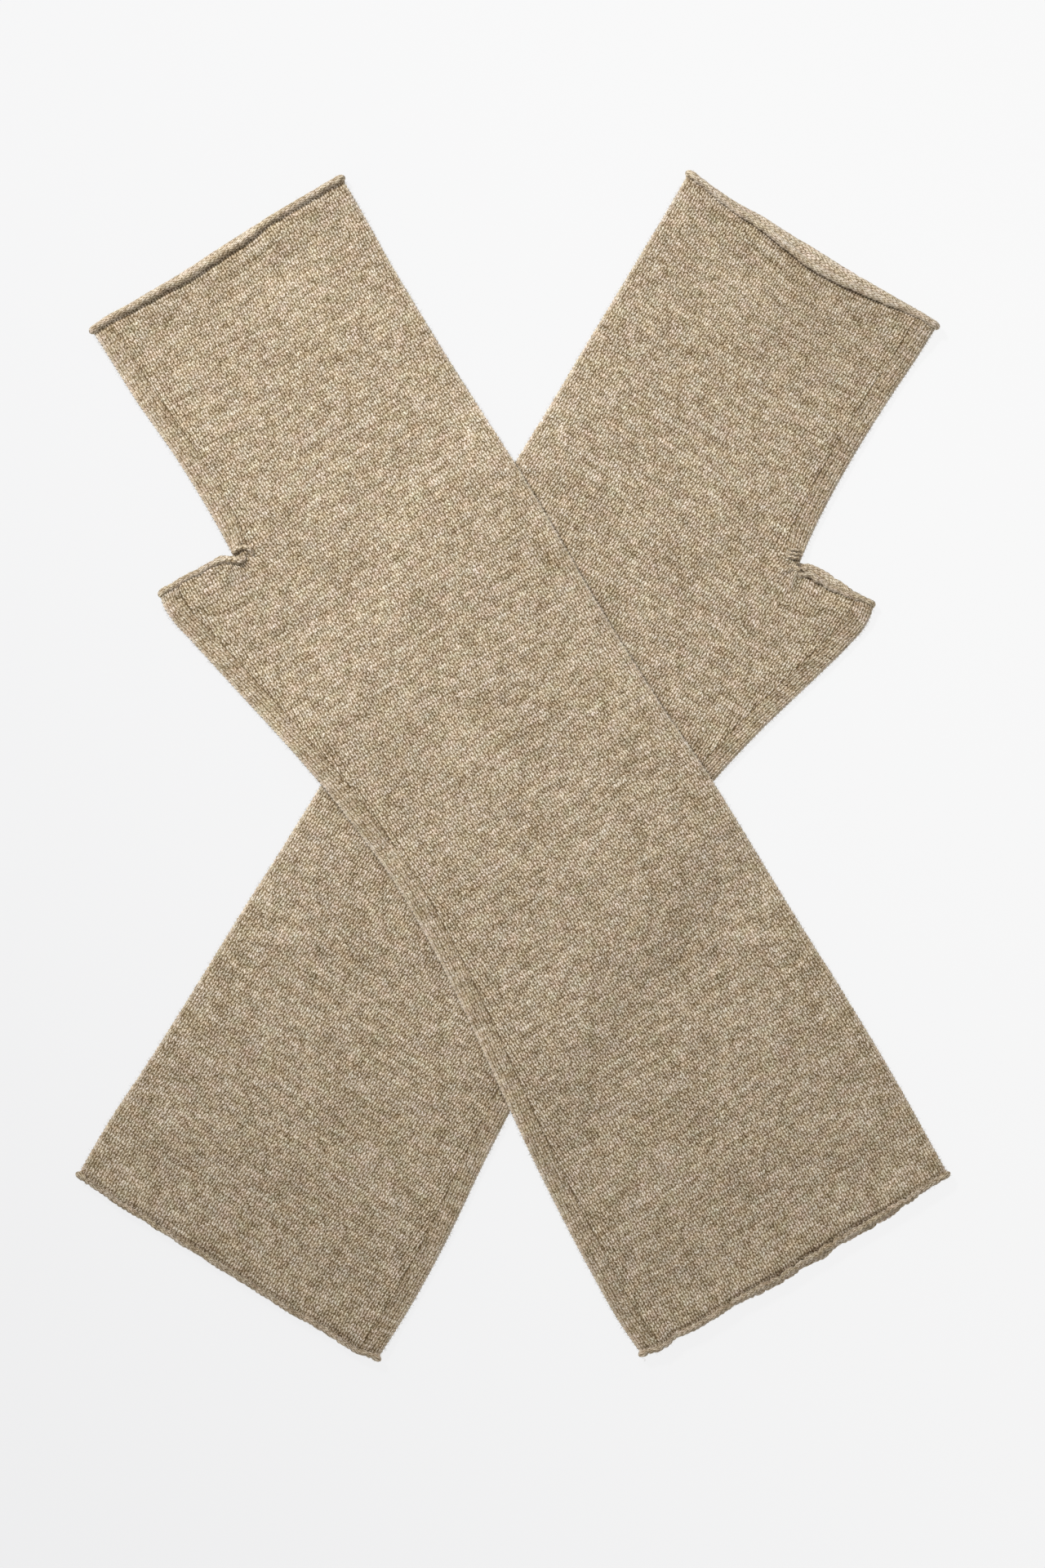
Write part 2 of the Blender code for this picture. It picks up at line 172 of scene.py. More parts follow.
# %% The lower mitten's outline
LOWER = Mitten(
    name="lower",
    corner=(55.0, 181.0),
    lean=math.radians(-31.4),
    thumb_way=1,
    wale=1.7257,
    hand_part=table(
        Edge,
        (
            (-0.6, -1.5, 88.5), (12.0, -1.2, 88.4), (26.0, -1.1, 87.8), (45.0, -1.0, 87.5),
            (64.0, -0.9, 88.1), (78.0, -0.7, 89.4), (86.0, -0.7, 90.6),
        ),
    ),
    arm_part=table(
        Edge,
        (
            (82.6, -0.7, 116.1), (88.0, -0.7, 117.6), (92.0, -0.7, 117.7), (98.0, -0.7, 116.6),
            (115.0, -0.8, 112.3), (135.0, -0.7, 107.0), (155.0, -0.4, 102.9), (175.0, -0.1, 100.2),
            (192.0, 0.0, 98.7), (215.0, 0.0, 98.2), (240.0, -0.1, 99.0), (265.0, -0.5, 101.5),
            (292.0, -0.6, 103.6), (320.0, -1.0, 106.4), (343.0, -1.8, 107.4), (362.0, -1.2, 107.0),
        ),
    ),
    hand_mouth=table(
        Mouth,
        (
            (0.0, -0.7, 0.2), (0.1, -0.1, 0.6), (0.18, 0.2, 1.2), (0.28, -0.3, 2.0),
            (0.4, -0.1, 2.9), (0.51, -0.2, 4.2), (0.62, 0.0, 3.6), (0.72, -0.1, 2.8),
            (0.84, -0.4, 1.4), (0.94, -0.5, 0.3), (1.0, -0.1, 0.0),
        ),
    ),
    arm_mouth=table(
        Mouth,
        (
            (0.0, 360.9, 0.1), (0.1, 361.5, 0.0), (0.25, 361.8, 0.2), (0.4, 362.3, 0.3),
            (0.55, 362.2, 0.2), (0.7, 362.5, 0.1), (0.85, 362.2, 0.2), (0.94, 362.3, 0.1),
            (1.0, 361.2, 0.0),
        ),
    ),
    thumb_mouth=table(
        Mouth,
        (
            (0.0, 83.0, 2.6), (0.08, 83.2, 3.0), (0.2, 82.8, 2.4), (0.33, 82.6, 2.5),
            (0.45, 82.6, 2.6), (0.57, 82.8, 1.8), (0.7, 83.0, 0.9), (0.85, 83.0, 0.2),
            (1.0, 82.9, 0.0),
        ),
    ),
)
PAIR = (UPPER, LOWER)
print("lower mitten:", LOWER.arm_mouth[0].line, "mm long on its folded side")

# %% [markdown]
# ## Reading the tables
# Between two rows of a table the edge runs on a smooth curve, here a cubic that keeps the
# slope of its neighbours. Written for whole arrays, it places every stitch in a single call,
# which matters because the pair has more than thirty thousand of them.


# %% Reading the tables
def smooth_read(rows, column, station):
    """Read one column of a table at many stations, on a smooth curve through its rows."""
    places = np.array([row[0] for row in rows], float)
    values = np.array([getattr(row, column) for row in rows], float)
    slopes = np.gradient(values, places)
    station = np.clip(station, places[0], places[-1])
    i = np.clip(np.searchsorted(places, station, side="right") - 1, 0, len(places) - 2)
    span = places[i + 1] - places[i]
    t = (station - places[i]) / span
    return (
        values[i] * (1 + 2 * t) * (1 - t) ** 2
        + values[i + 1] * t * t * (3 - 2 * t)
        + span * t * (1 - t) * (slopes[i] * (1 - t) - slopes[i + 1] * t)
    )


def fade(distance, run):
    """1 at no distance, easing down to 0 at the end of the run."""
    return 0.5 + 0.5 * np.cos(np.pi * np.clip(distance / run, 0.0, 1.0))


def crotch(mitten):
    """Where the hand part's seamed edge meets the thumb mouth: (along, across)."""
    along = mitten.thumb_mouth[0].line + 2 * THUMB_CURL.radius + SEAT_GAP
    return along, float(smooth_read(mitten.hand_part, "seam", along))


def side_edges(mitten, along, in_arm):
    """The folded and the seamed edge at many places along the mitten."""
    return tuple(
        np.where(
            in_arm,
            smooth_read(mitten.arm_part, edge, along),
            smooth_read(mitten.hand_part, edge, along),
        )
        for edge in ("fold", "seam")
    )


for mitten in PAIR:
    print(mitten.name, "thumb opens at", np.round(crotch(mitten), 1), "mm along and across")

# %% [markdown]
# ## How the cloth lies
# A laid mitten is a flattened tube. It rises a little where its mouths sit on their own curled
# edges, and the upper one climbs over the lower one and slopes down past it. A cloth solver
# could find that drape, but cloth this thin simply follows what is under it, so one formula for
# the height of its underside is quicker and gives the same shape on every run.


# %% Places on the table
def directions(mitten):
    """Unit vectors on the table: along the mitten to its arm end, and across to its thumb."""
    along = np.array([math.sin(mitten.lean), -math.cos(mitten.lean)])
    across = np.array([math.cos(mitten.lean), math.sin(mitten.lean)]) * mitten.thumb_way
    return along, across


def place(mitten, along, across, height):
    """Points of the flat mitten, put in their place on the table, in millimetres."""
    lengthways, sideways = directions(mitten)
    x = mitten.corner[0] + lengthways[0] * along + sideways[0] * across
    y = mitten.corner[1] + lengthways[1] * along + sideways[1] * across
    return np.stack(np.broadcast_arrays(x, y, height), axis=-1)


print("the middle of the upper mitten lies at", place(UPPER, 180.0, 50.0, 0.0).round(1), "mm")

# %% How the cloth lies
OVERHANG = 3.0  # how far past the lower mitten the upper one stays up
SLOPE_RUN = 26.0  # how far it then takes to come down
MOUTH_LIFT_RUN = 13.0  # how far from a mouth its curl still lifts the cloth
THUMB_LIFT_RUN = 10.0


def past_outline(mitten, spots):
    """How far places on the table lie outside a mitten's two side edges."""
    lengthways, sideways = directions(mitten)
    from_corner = spots[..., :2] - np.array(mitten.corner)
    along, across = from_corner @ lengthways, from_corner @ sideways
    fold, seam = side_edges(mitten, along, along > crotch(mitten)[0])
    return np.maximum(np.maximum(fold - across, across - seam), 0.0)


def underside(mitten, along, across):
    """Height of the laid tube's underside above the table."""
    thumb_along, thumb_across = crotch(mitten)
    hand_end = mitten.hand_mouth[0].line + 2 * HAND_CURL.radius
    arm_end = mitten.arm_mouth[0].line - 2 * ARM_CURL.radius
    from_thumb = np.hypot(along - thumb_along, np.maximum(thumb_across - across, 0.0))
    lifts = (
        (HAND_CURL, along - hand_end, MOUTH_LIFT_RUN),
        (ARM_CURL, arm_end - along, MOUTH_LIFT_RUN),
        (THUMB_CURL, from_thumb, THUMB_LIFT_RUN),
    )
    height = np.zeros(np.shape(along))
    for curl, distance, run in lifts:
        lift = curl_height(curl) / 2 - HALF_TUBE
        height = np.maximum(height, lift * fade(distance, run))
    if mitten is UPPER:
        away = past_outline(LOWER, place(mitten, along, across, 0.0))
        height = height + (2 * HALF_TUBE + SEAT_GAP) * fade(away - OVERHANG, SLOPE_RUN)
    return height


def tube_middle(mitten, along, across):
    """Height of the middle between the laid tube's two layers."""
    return underside(mitten, along, across) + HALF_TUBE


crossing = underside(UPPER, np.array([170.0]), np.array([50.0]))[0]
print(f"the upper mitten lies {crossing:.1f} mm above the table where they cross")

# %% [markdown]
# ## Rows that bend to the mouths
# Far from a mouth, a course runs straight across. Near one it follows that mouth's own line, so
# the cloth never looks sliced. Moving the rows, instead of cutting the mesh, keeps each stitch
# whole, as it is on the needle.

# %% Rows that bend to the mouths
MOUTH_EASE = 42.0  # how far from a mouth the rows run straight again
THUMB_EASE = 70.0  # how far from the crotch the thumb's share of the width is even
THUMB_PART = 0.25  # that share
THUMB_TURN = 0.1  # share of the thumb mouth in which its line turns out of the row beside it
CORD_INSET = 0.2  # how far in from the line of its mouth the curled cord lies
CORD_OVERLAP = 0.35  # how far the cord sits over the end of its panel


def mouth_edge(mouth, curl, share, turn, sense):
    """Where the panel ends behind a mouth's curled edge, at a share across and a turn round."""
    upper_part = (1 + np.sin(turn)) / 2
    dip = smooth_read(mouth, "dip", share) * upper_part
    wide = CORD_INSET + 2 * curl.cord - CORD_OVERLAP
    return smooth_read(mouth, "line", share) + sense * (dip + wide)


def main_share(mitten, station):
    """Share of the arm part's width on the hand's side of the thumb."""
    start, root = crotch(mitten)
    wide = mitten.arm_part[0].seam - 2 * EDGE_ROUND
    even = 1 - THUMB_PART
    return even + ((root - 2 * EDGE_ROUND) / wide - even) * fade(station - start, THUMB_EASE)


def thumb_share(share, main):
    """Share across the thumb, from a share across the whole arm part."""
    return np.clip((share - main) / (1 - main), 0.0, 1.0)


def bend_rows(mitten, station, share, turn, in_arm):
    """Where the rows really run, bent to the lines of the hand, arm and thumb mouths."""
    hand_edge = mouth_edge(mitten.hand_mouth, HAND_CURL, share, turn, 1)
    along = station + hand_edge * fade(station, MOUTH_EASE)
    arm_end = mitten.arm_mouth[0].line
    arm_edge = mouth_edge(mitten.arm_mouth, ARM_CURL, share, turn, -1)
    along = along + (arm_edge - arm_end) * fade(arm_end - station, MOUTH_EASE)
    start, main = crotch(mitten)[0], main_share(mitten, station)
    thumb = thumb_share(share, main)
    thumb_edge = mouth_edge(mitten.thumb_mouth, THUMB_CURL, thumb, turn, 1)
    bend = (thumb_edge - start) * (1 - fade(thumb, THUMB_TURN))
    return along + np.where(in_arm, bend * fade(station - start, MOUTH_EASE), 0)


dip = bend_rows(LOWER, 0.0, np.array([0.0, 0.57]), math.pi / 2, False)
print(f"the lower mitten's front edge dips {dip[1] - dip[0]:.1f} mm in at its middle")

# %% [markdown]
# ## Meshes sewn from grids
# Every piece here is a grid of points with some of its points in the same place, as where a
# wale ends at the seam. `sew` welds those, drops the faces that closed up, and writes the mesh
# with one fast call for each list. Each corner keeps its count of wales and courses as a UV
# map, "stitches", which the wool later reads, and a copy from 0 to 1 for baking.

# %% Welding a grid
WELD = 0.001  # points nearer than this, in millimetres, become one


def grid_cells(rows, columns):
    """The four corners of each cell of a grid, by the grid's point numbers."""
    r, c = np.meshgrid(np.arange(rows - 1), np.arange(columns - 1), indexing="ij")
    first = (r * columns + c).ravel()
    return np.stack([first, first + 1, first + columns + 1, first + columns], axis=1)


def weld(points, cells):
    """Join points that coincide, and sort the cells that are left into quads and triangles."""
    flat = points.reshape(-1, 3)
    keys = np.round(flat / WELD).astype(np.int64)
    _, first, index = np.unique(keys, axis=0, return_index=True, return_inverse=True)
    index = index.ravel()
    corners = index[cells]
    same = corners == np.roll(corners, -1, axis=1)
    closed = same.sum(axis=1)
    crossed = (corners[:, 0] == corners[:, 2]) | (corners[:, 1] == corners[:, 3])
    quads = cells[(closed == 0) & ~crossed]
    narrow = cells[(closed == 1) & ~crossed]
    keep = np.argmax(same[(closed == 1) & ~crossed], axis=1)
    rows = np.arange(len(narrow))
    triangles = np.stack([narrow[rows, (keep + k) % 4] for k in (0, 2, 3)], axis=1)
    return flat[first], index, quads, triangles


print("a grid of 3 by 3 points has", len(grid_cells(3, 3)), "cells")

# %% Normals that look outwards
ABOVE_TABLE = 0.02  # no point lies lower than this
NO_LENGTH = 1e-12
Cloth = namedtuple("Cloth", "points normals index quads triangles uv edges")


def soft_normals(points, index, quads, triangles):
    """A normal at each welded point, and whether the faces look inwards."""
    halves = [quads[:, :3], quads[:, [0, 2, 3]], triangles]
    corners = index[np.concatenate(halves)]
    a, b, c = (points[corners[:, k]] for k in range(3))
    facing = np.cross(b - a, c - a)
    inside_out = np.einsum("ij,ij->", a, facing) < 0
    normals = np.stack(
        [
            sum(np.bincount(corners[:, k], facing[:, axis], len(points)) for k in range(3))
            for axis in range(3)
        ],
        axis=1,
    )
    lengths = np.linalg.norm(normals, axis=1, keepdims=True)
    return (-1 if inside_out else 1) * normals / np.maximum(lengths, NO_LENGTH), inside_out


def cloth_from(points, uv, cells, edges=None):
    """Weld a grid and give it normals that look outwards."""
    middle = points.reshape(-1, 3).mean(axis=0)
    welded, index, quads, triangles = weld(points - middle, cells)
    normals, inside_out = soft_normals(welded, index, quads, triangles)
    welded = welded + middle
    welded[:, 2] = np.maximum(welded[:, 2], ABOVE_TABLE)
    if inside_out:
        quads, triangles = quads[:, ::-1], triangles[:, ::-1]
    return Cloth(welded, normals, index, quads, triangles, uv.reshape(-1, 2), edges)


print("a cloth keeps its", ", ".join(Cloth._fields))


# %% Writing the mesh
def sew(name, cloth, quads=None, triangles=None):
    """Write a cloth, or the part of it that these faces make, as a mesh object in metres."""
    quads = cloth.quads if quads is None else quads
    triangles = cloth.triangles if triangles is None else triangles
    corners = np.concatenate([quads.ravel(), triangles.ravel()])
    sizes = np.repeat([4, 3], [len(quads), len(triangles)])
    used, vertex = np.unique(cloth.index[corners], return_inverse=True)
    mesh = bpy.data.meshes.new(name)
    mesh.vertices.add(len(used))
    mesh.vertices.foreach_set("co", (cloth.points[used] * MM).ravel())
    mesh.loops.add(len(corners))
    mesh.loops.foreach_set("vertex_index", vertex.ravel().astype(np.int32))
    mesh.polygons.add(len(sizes))
    mesh.polygons.foreach_set("loop_start", np.concatenate([[0], np.cumsum(sizes)[:-1]]))
    mesh.update(calc_edges=True)
    stitches = cloth.uv[corners]
    low, high = stitches.min(axis=0), stitches.max(axis=0)
    layers = {"stitches": stitches, "OFBake": (stitches - low) / (high - low)}
    if cloth.edges is not None:
        layers["edges"] = cloth.edges.reshape(-1, 2)[corners]
    for layer, values in layers.items():
        mesh.uv_layers.new(name=layer).data.foreach_set("uv", values.ravel())
    mesh.shade_smooth()
    mesh.normals_split_custom_set_from_vertices(cloth.normals[used])
    piece = bpy.data.objects.new(name, mesh)
    bpy.context.scene.collection.objects.link(piece)
    print(f"{name}: {2 * len(quads) + len(triangles)} triangles")
    return piece


def sew_grid(name, points, across, along):
    """Sew a whole grid of points, with its counts of wales across and courses along."""
    across, along = np.broadcast_arrays(across, along)
    uv = np.stack([across, along], axis=-1)
    return sew(name, cloth_from(points, uv, grid_cells(*across.shape)))


# %% Lines and skins round them
UP = np.array([0.0, 0.0, 1.0])


def unit(ways):
    """The same directions, each 1 long."""
    return ways / np.linalg.norm(ways, axis=1, keepdims=True)


def reach_along(line):
    """How far along a line of points each of them is."""
    return np.concatenate([[0], np.cumsum(np.linalg.norm(np.diff(line, axis=0), axis=1))])


def swept(centres, sideways, side_way, upwards, up_way):
    """A skin round a line: how far its points stand out of it in two directions."""
    points = centres[:, None, :] + sideways[..., None] * side_way + upwards[..., None] * up_way
    points[:, -1] = points[:, 0]
    return points


print("a line up and back is", reach_along(np.array([0 * UP, UP, 0 * UP]))[-1], "long")

# %% [markdown]
# ## Stitches in relief
# A plain stitch shows two legs that meet in a V, each like a grain of rice. Real loops of yarn
# would need millions of faces, so the front layer is a relief instead: four columns of points
# to a wale and two rows to a course, which slide sideways so that the ridges run along the
# legs. The back layer has half of that each way, because it is seen less. A little chance in
# the height of each leg keeps the rows from looking like print.

# %% Stitches in relief
STRIP_WALES = 3  # wales that follow the seamed edge
ROUND_WALES = 3  # wales that go round a side edge
END_ROW, TIP_ROW, CREST_ROW = 0, 1, 2
ROW_AT = {TIP_ROW: 0.08, CREST_ROW: 0.58}  # share of a course at which such a row runs
ACROSS = np.array([[0, 0.25, 0.5, 0.75], [0, 0.2, 0.5, 0.8], [0, 0.28, 0.5, 0.72]])
FINE_HEIGHT = np.array(
    [[-0.2, -0.1, -0.2, -0.1], [-0.24, -0.1, -0.22, -0.1], [-0.32, 0.14, -0.26, 0.14]]
)
COARSE_HEIGHT = np.array([[-0.2, 0, -0.06, 0], [-0.2, 0, -0.06, 0], [-0.3, 0, -0.04, 0]])
LEG_CHANCE = 0.06  # how much the legs' heights differ by chance
STRIP_GROOVE = 0.18  # how much deeper the gaps are in the strip along the seam
BORDER_DEPTH = 0.2  # trough where the wales end at the strip along the seam
BORDER_START = 4.0  # how far from the crotch the hand part's trough takes to get deep
FAR_OFF = 1e3
SEAM_DEPTH = 0.3  # groove along the joining seam
SEAM_SPREAD = math.radians(24.0)
EDGE_SHAVE = 0.2  # how much flatter the side edges are than a round tube
PILLOW, PILLOW_REACH = 0.6, 7.0  # how much lower the front lies at the side edges

Row = namedtuple("Row", "station course kind in_arm")


def row_plan(mitten):
    """Each row of the panel's mesh: its station, its count of courses, its kind and its part."""
    start, end = crotch(mitten)[0], mitten.arm_mouth[0].line
    rows, done = [], 0
    for begin, finish, in_arm in ((0.0, start, False), (start, end, True)):
        courses = round((finish - begin) / COURSE)
        pitch = (finish - begin) / courses
        rows.append(Row(begin, done, END_ROW, in_arm))
        for j in range(courses):
            for kind, at in ROW_AT.items():
                rows.append(Row(begin + (j + at) * pitch, done + j + at, kind, in_arm))
        done += courses
        rows.append(Row(finish, done, END_ROW, in_arm))
    return rows


WIDTH_SAMPLES = 400


def wales_at_widest(mitten):
    """Whole wales that the flat of the front layer needs where the mitten is widest."""
    stations = np.linspace(0, mitten.arm_mouth[0].line, WIDTH_SAMPLES)
    fold, seam = side_edges(mitten, stations, stations > crotch(mitten)[0])
    flat = (seam - fold).max() - 2 * EDGE_ROUND - STRIP_WALES * mitten.wale
    return math.ceil(flat / mitten.wale)


for mitten in PAIR:
    print(mitten.name, len(row_plan(mitten)), "rows,", wales_at_widest(mitten), "wales at most")

# %% [markdown]
# ## The panel, all the way round
# One grid goes round the whole tube: up round the folded edge, over the front, down round the
# seamed edge and back underneath. The wales run straight from the fold, and the last three
# follow the seamed edge, so the others end at a soft trough there, one by one, where the maker
# narrowed the knit. The upper layer also swells a little here and there, as laid wool does, and
# it is pressed down in a groove beside each curled edge, which pulls on it.

# %% The panel's columns
FOLD, FRONT, FRONT_STRIP, SEAM, BACK_STRIP, BACK = range(6)  # the parts of the ring, in order


def column_plan(wales):
    """Each column: its part, the wale in that part, its quarter, and the wales before it."""
    counts = (ROUND_WALES, wales, STRIP_WALES, ROUND_WALES, STRIP_WALES, wales)
    columns, before, fine_count = [], 0, 0
    for part, count in enumerate(counts):
        quarters = (0, 2) if part >= BACK_STRIP else (0, 1, 2, 3)
        columns += [(part, w, k, before) for w in range(count) for k in quarters]
        before += count
        if part == SEAM:
            fine_count = len(columns)
    columns.append((FOLD, 0, 0, before))  # the first column again, which closes the ring
    return np.array(columns).T, fine_count


def ring_turns(part, wale_count):
    """How far round the tube each column is, and which side edge it goes round."""
    half_turn = math.pi * wale_count / ROUND_WALES
    turn = np.where(part < SEAM, math.pi / 2, -math.pi / 2) * np.ones_like(half_turn)
    turn = np.where(part == FOLD, half_turn - math.pi / 2, turn)
    turn = np.where(part == SEAM, math.pi / 2 - half_turn, turn)
    return turn, np.where(part == FOLD, -1, np.where(part == SEAM, 1, 0))


print("the ring has", column_plan(wales_at_widest(UPPER))[0].shape[1], "columns")

# %% Soft unevenness
SWELLS = 9  # how many waves of it
SWELL_SHORT, SWELL_LONG = 16.0, 70.0  # their lengths
SWELL_HEIGHT = 0.07  # height of the longest
PULL, PULL_REACH = 0.42, 7.0  # how strongly and how far the cloth is drawn to the crotch
CREASE, CREASE_AT = 0.3, 2.6  # how high the creases round the crotch get, and where
CREASES, CREASE_START = 8, 1.0
PITS = {  # small dark pits between the stitches there, along and across
    "upper": ((83.8, 84.0), (81.7, 86.6), (80.6, 84.5)),
    "lower": ((85.9, 87.9), (86.9, 89.6)),
}
PIT_DEPTH, PIT_REACH = 0.6, 0.8
DIP_GROOVE, FULL_DIP = 1.1, 2.6  # how much deeper a groove gets where a front edge dips
GROOVE_REACH = 1.1


def seeded(mitten, upper_seed, lower_seed):
    """A mitten's own chance, which gives the same numbers on every run."""
    return np.random.default_rng(upper_seed if mitten is UPPER else lower_seed)


def swell(mitten, along, across):
    """Soft unevenness of the upper layer, in millimetres."""
    chance = seeded(mitten, 41, 42)
    total = np.zeros(np.shape(along))
    for _ in range(SWELLS):
        wavelength = chance.uniform(SWELL_SHORT, SWELL_LONG)
        heading, phase = chance.uniform(0, math.pi), chance.uniform(0, 2 * math.pi)
        reach = (along * math.cos(heading) + across * math.sin(heading)) / wavelength
        total = total + wavelength / SWELL_LONG * np.sin(2 * math.pi * reach + phase)
    return SWELL_HEIGHT * total


def drawn_in(mitten, along, across):
    """Places in the cloth, drawn towards the crotch, where the end of the seam is fastened."""
    start, root = crotch(mitten)
    share = PULL * np.exp(-((np.hypot(along - start, across - root) / PULL_REACH) ** 2))
    return along + share * (start - along), across + share * (root - across)


def sunk(mitten, station, share, in_arm):
    """How far the front layer is pressed down beside its mouths."""
    start, thumb = crotch(mitten)[0], thumb_share(share, main_share(mitten, station))
    depth = np.zeros(np.broadcast(station, share).shape)
    for curl, mouth, near, where, here in (
        (HAND_CURL, mitten.hand_mouth, station, share, ~in_arm),
        (ARM_CURL, mitten.arm_mouth, mitten.arm_mouth[0].line - station, share, in_arm),
        (THUMB_CURL, mitten.thumb_mouth, station - start, thumb, in_arm & (thumb > 0)),
    ):
        dip = smooth_read(mouth, "dip", where)
        groove = curl.groove + DIP_GROOVE * np.clip(dip / FULL_DIP, 0, 1)
        depth = np.maximum(depth, here * groove * np.exp(-((near / GROOVE_REACH) ** 4)))
    return depth


def creases(mitten, along, across):
    """Height of the small creases round the crotch, and of the pits between its stitches."""
    start, root = crotch(mitten)
    far, heading = np.hypot(along - start, root - across), np.arctan2(along - start, root - across)
    height = CREASE * np.sin(CREASES * heading + CREASE_START)
    height = height * far / CREASE_AT * np.exp(1 - far / CREASE_AT)
    for pit_along, pit_across in PITS[mitten.name]:
        near = np.hypot(along - pit_along, across - pit_across) / PIT_REACH
        height = height - PIT_DEPTH * np.exp(-(near**2))
    return height


tried = swell(UPPER, np.linspace(0.0, 350.0, 200), 50.0)
print(f"the front layer swells from {tried.min():.2f} to {tried.max():.2f} mm")


# %% The panel's points
def panel_points(mitten, rows, wales):
    """Places of the panel's points on the table, and their counts of wales and courses."""
    part, wale_number, quarter, before = column_plan(wales)[0]
    station = np.array([row.station for row in rows])[:, None]
    kind = np.array([row.kind for row in rows])[:, None]
    in_arm = np.array([row.in_arm for row in rows])[:, None]
    wale_count = wale_number + ACROSS[kind, quarter]
    turn, edge = ring_turns(part, wale_count)
    rounded = EDGE_ROUND * (1 - np.cos(turn))

    reach = np.where(part == FRONT, wale_count, wales - wale_count) * mitten.wale + EDGE_ROUND
    from_fold = np.where(part == FOLD, rounded, reach)
    strip = np.where(part == FRONT_STRIP, STRIP_WALES - wale_count, wale_count)
    from_seam = np.where(part == SEAM, rounded, strip * mitten.wale + EDGE_ROUND)
    by_fold = (part == FOLD) | (part == FRONT) | (part == BACK)

    border = EDGE_ROUND + STRIP_WALES * mitten.wale
    fold, seam = side_edges(mitten, station, in_arm)
    width = seam - fold
    spot = np.where(by_fold, np.minimum(from_fold, width - border), width - from_seam)
    share = np.clip((spot - EDGE_ROUND) / (width - 2 * EDGE_ROUND), 0.0, 1.0)
    along = bend_rows(mitten, station, share, turn, in_arm)
    fold, seam = side_edges(mitten, along, in_arm)
    clipped = by_fold & (from_fold > seam - fold - border)
    at_border = clipped | ((part == FRONT_STRIP) & (wale_number == 0) & (quarter == 0))
    across = np.where(by_fold, np.minimum(fold + from_fold, seam - border), seam - from_seam)

    chance, in_front = seeded(mitten, 11, 12), part < BACK_STRIP
    relief = np.where(in_front, FINE_HEIGHT[kind, quarter], COARSE_HEIGHT[kind, quarter])
    relief = relief + (kind > 0) * (quarter % 2) * chance.normal(0, LEG_CHANCE, relief.shape)
    to_crotch = np.where(in_arm, FAR_OFF, crotch(mitten)[0] - station)
    trough = FINE_HEIGHT[0, 0] - BORDER_DEPTH * (1 - np.exp(-to_crotch / BORDER_START))
    in_strip = (part == FRONT_STRIP) | ((part == SEAM) & (wale_number == 0))
    ribs = np.where(in_arm, 0.5, 1.0) * in_strip
    relief = relief - ribs * np.where(quarter == 0, STRIP_GROOVE, -STRIP_GROOVE / 4)
    relief = np.where(at_border & in_front, trough, relief)
    relief = relief - (part == SEAM) * SEAM_DEPTH * np.exp(-((turn / SEAM_SPREAD) ** 2))

    edges = np.stack(np.broadcast_arrays(seam - across, across - fold), axis=-1)
    along, across = drawn_in(mitten, along, across)
    uneven = swell(mitten, along, across) + creases(mitten, along, across)
    to_edge = (edges.min(axis=-1) / PILLOW_REACH).clip(0, 1)
    uneven = uneven - sunk(mitten, station, share, in_arm) - PILLOW * (1 - to_edge) ** 2
    middle = tube_middle(mitten, along, across) + uneven * np.sin(turn).clip(0)
    height = middle + (HALF_TUBE + relief) * np.sin(turn)
    outward = (relief - EDGE_SHAVE) * np.cos(turn)
    points = place(mitten, along, across + edge * outward, height)
    whole = (seam - border - fold - EDGE_ROUND) / mitten.wale
    wales_here = before + np.where(clipped & (part == FRONT), whole, wale_count)
    courses = np.array([row.course for row in rows])[:, None] * np.ones_like(points[..., 0])
    return points, np.stack([wales_here * np.ones_like(courses), courses], axis=-1), edges


print("the ring's wales run from 0 to", 2 * (wales_at_widest(UPPER) + STRIP_WALES + ROUND_WALES))


# %% The panel's cells
def panel_cells(rows, wales):
    """Cells of the ring, fine in front and coarse behind, and the row where each begins."""
    columns, fine_count = column_plan(wales)
    count = columns.shape[1]
    number = np.arange(len(rows) * count).reshape(len(rows), count)
    cells = []
    joined = [r for r in range(len(rows) - 1) if rows[r].in_arm == rows[r + 1].in_arm]
    for r in joined:
        a, b = number[r, :fine_count], number[r + 1, :fine_count]
        cells.append(np.stack([a[:-1], a[1:], b[1:], b[:-1]], axis=1))
    coarse = [r for r in range(len(rows)) if rows[r].kind != TIP_ROW]
    for r, s in zip(coarse, coarse[1:]):
        if rows[r].in_arm != rows[s].in_arm:
            continue
        a, b = number[r, fine_count : count - 1], number[s, fine_count : count - 1]
        cells.append(np.stack([a[:-1], a[1:], b[1:], b[:-1]], axis=1))
        for fine, plain, turned in (
            (fine_count - 1, fine_count, False),
            (count - 1, count - 2, True),
        ):
            near = [number[k, fine] for k in range(r, s + 1)]
            fan = [[near[0], number[r, plain], number[s, plain], near[-1]]]
            if len(near) == 3:
                fan = [
                    [near[0], number[r, plain], near[1], near[1]],
                    [near[1], number[r, plain], number[s, plain], number[s, plain]],
                    [near[1], number[s, plain], near[2], near[2]],
                ]
            fan = np.array(fan)
            cells.append(fan[:, ::-1] if turned else fan)
    return np.concatenate(cells), count


print("the upper panel has", len(panel_cells(row_plan(UPPER), wales_at_widest(UPPER))[0]), "cells")

# %% The panel, in three lengths
WRIST_END = 215.0


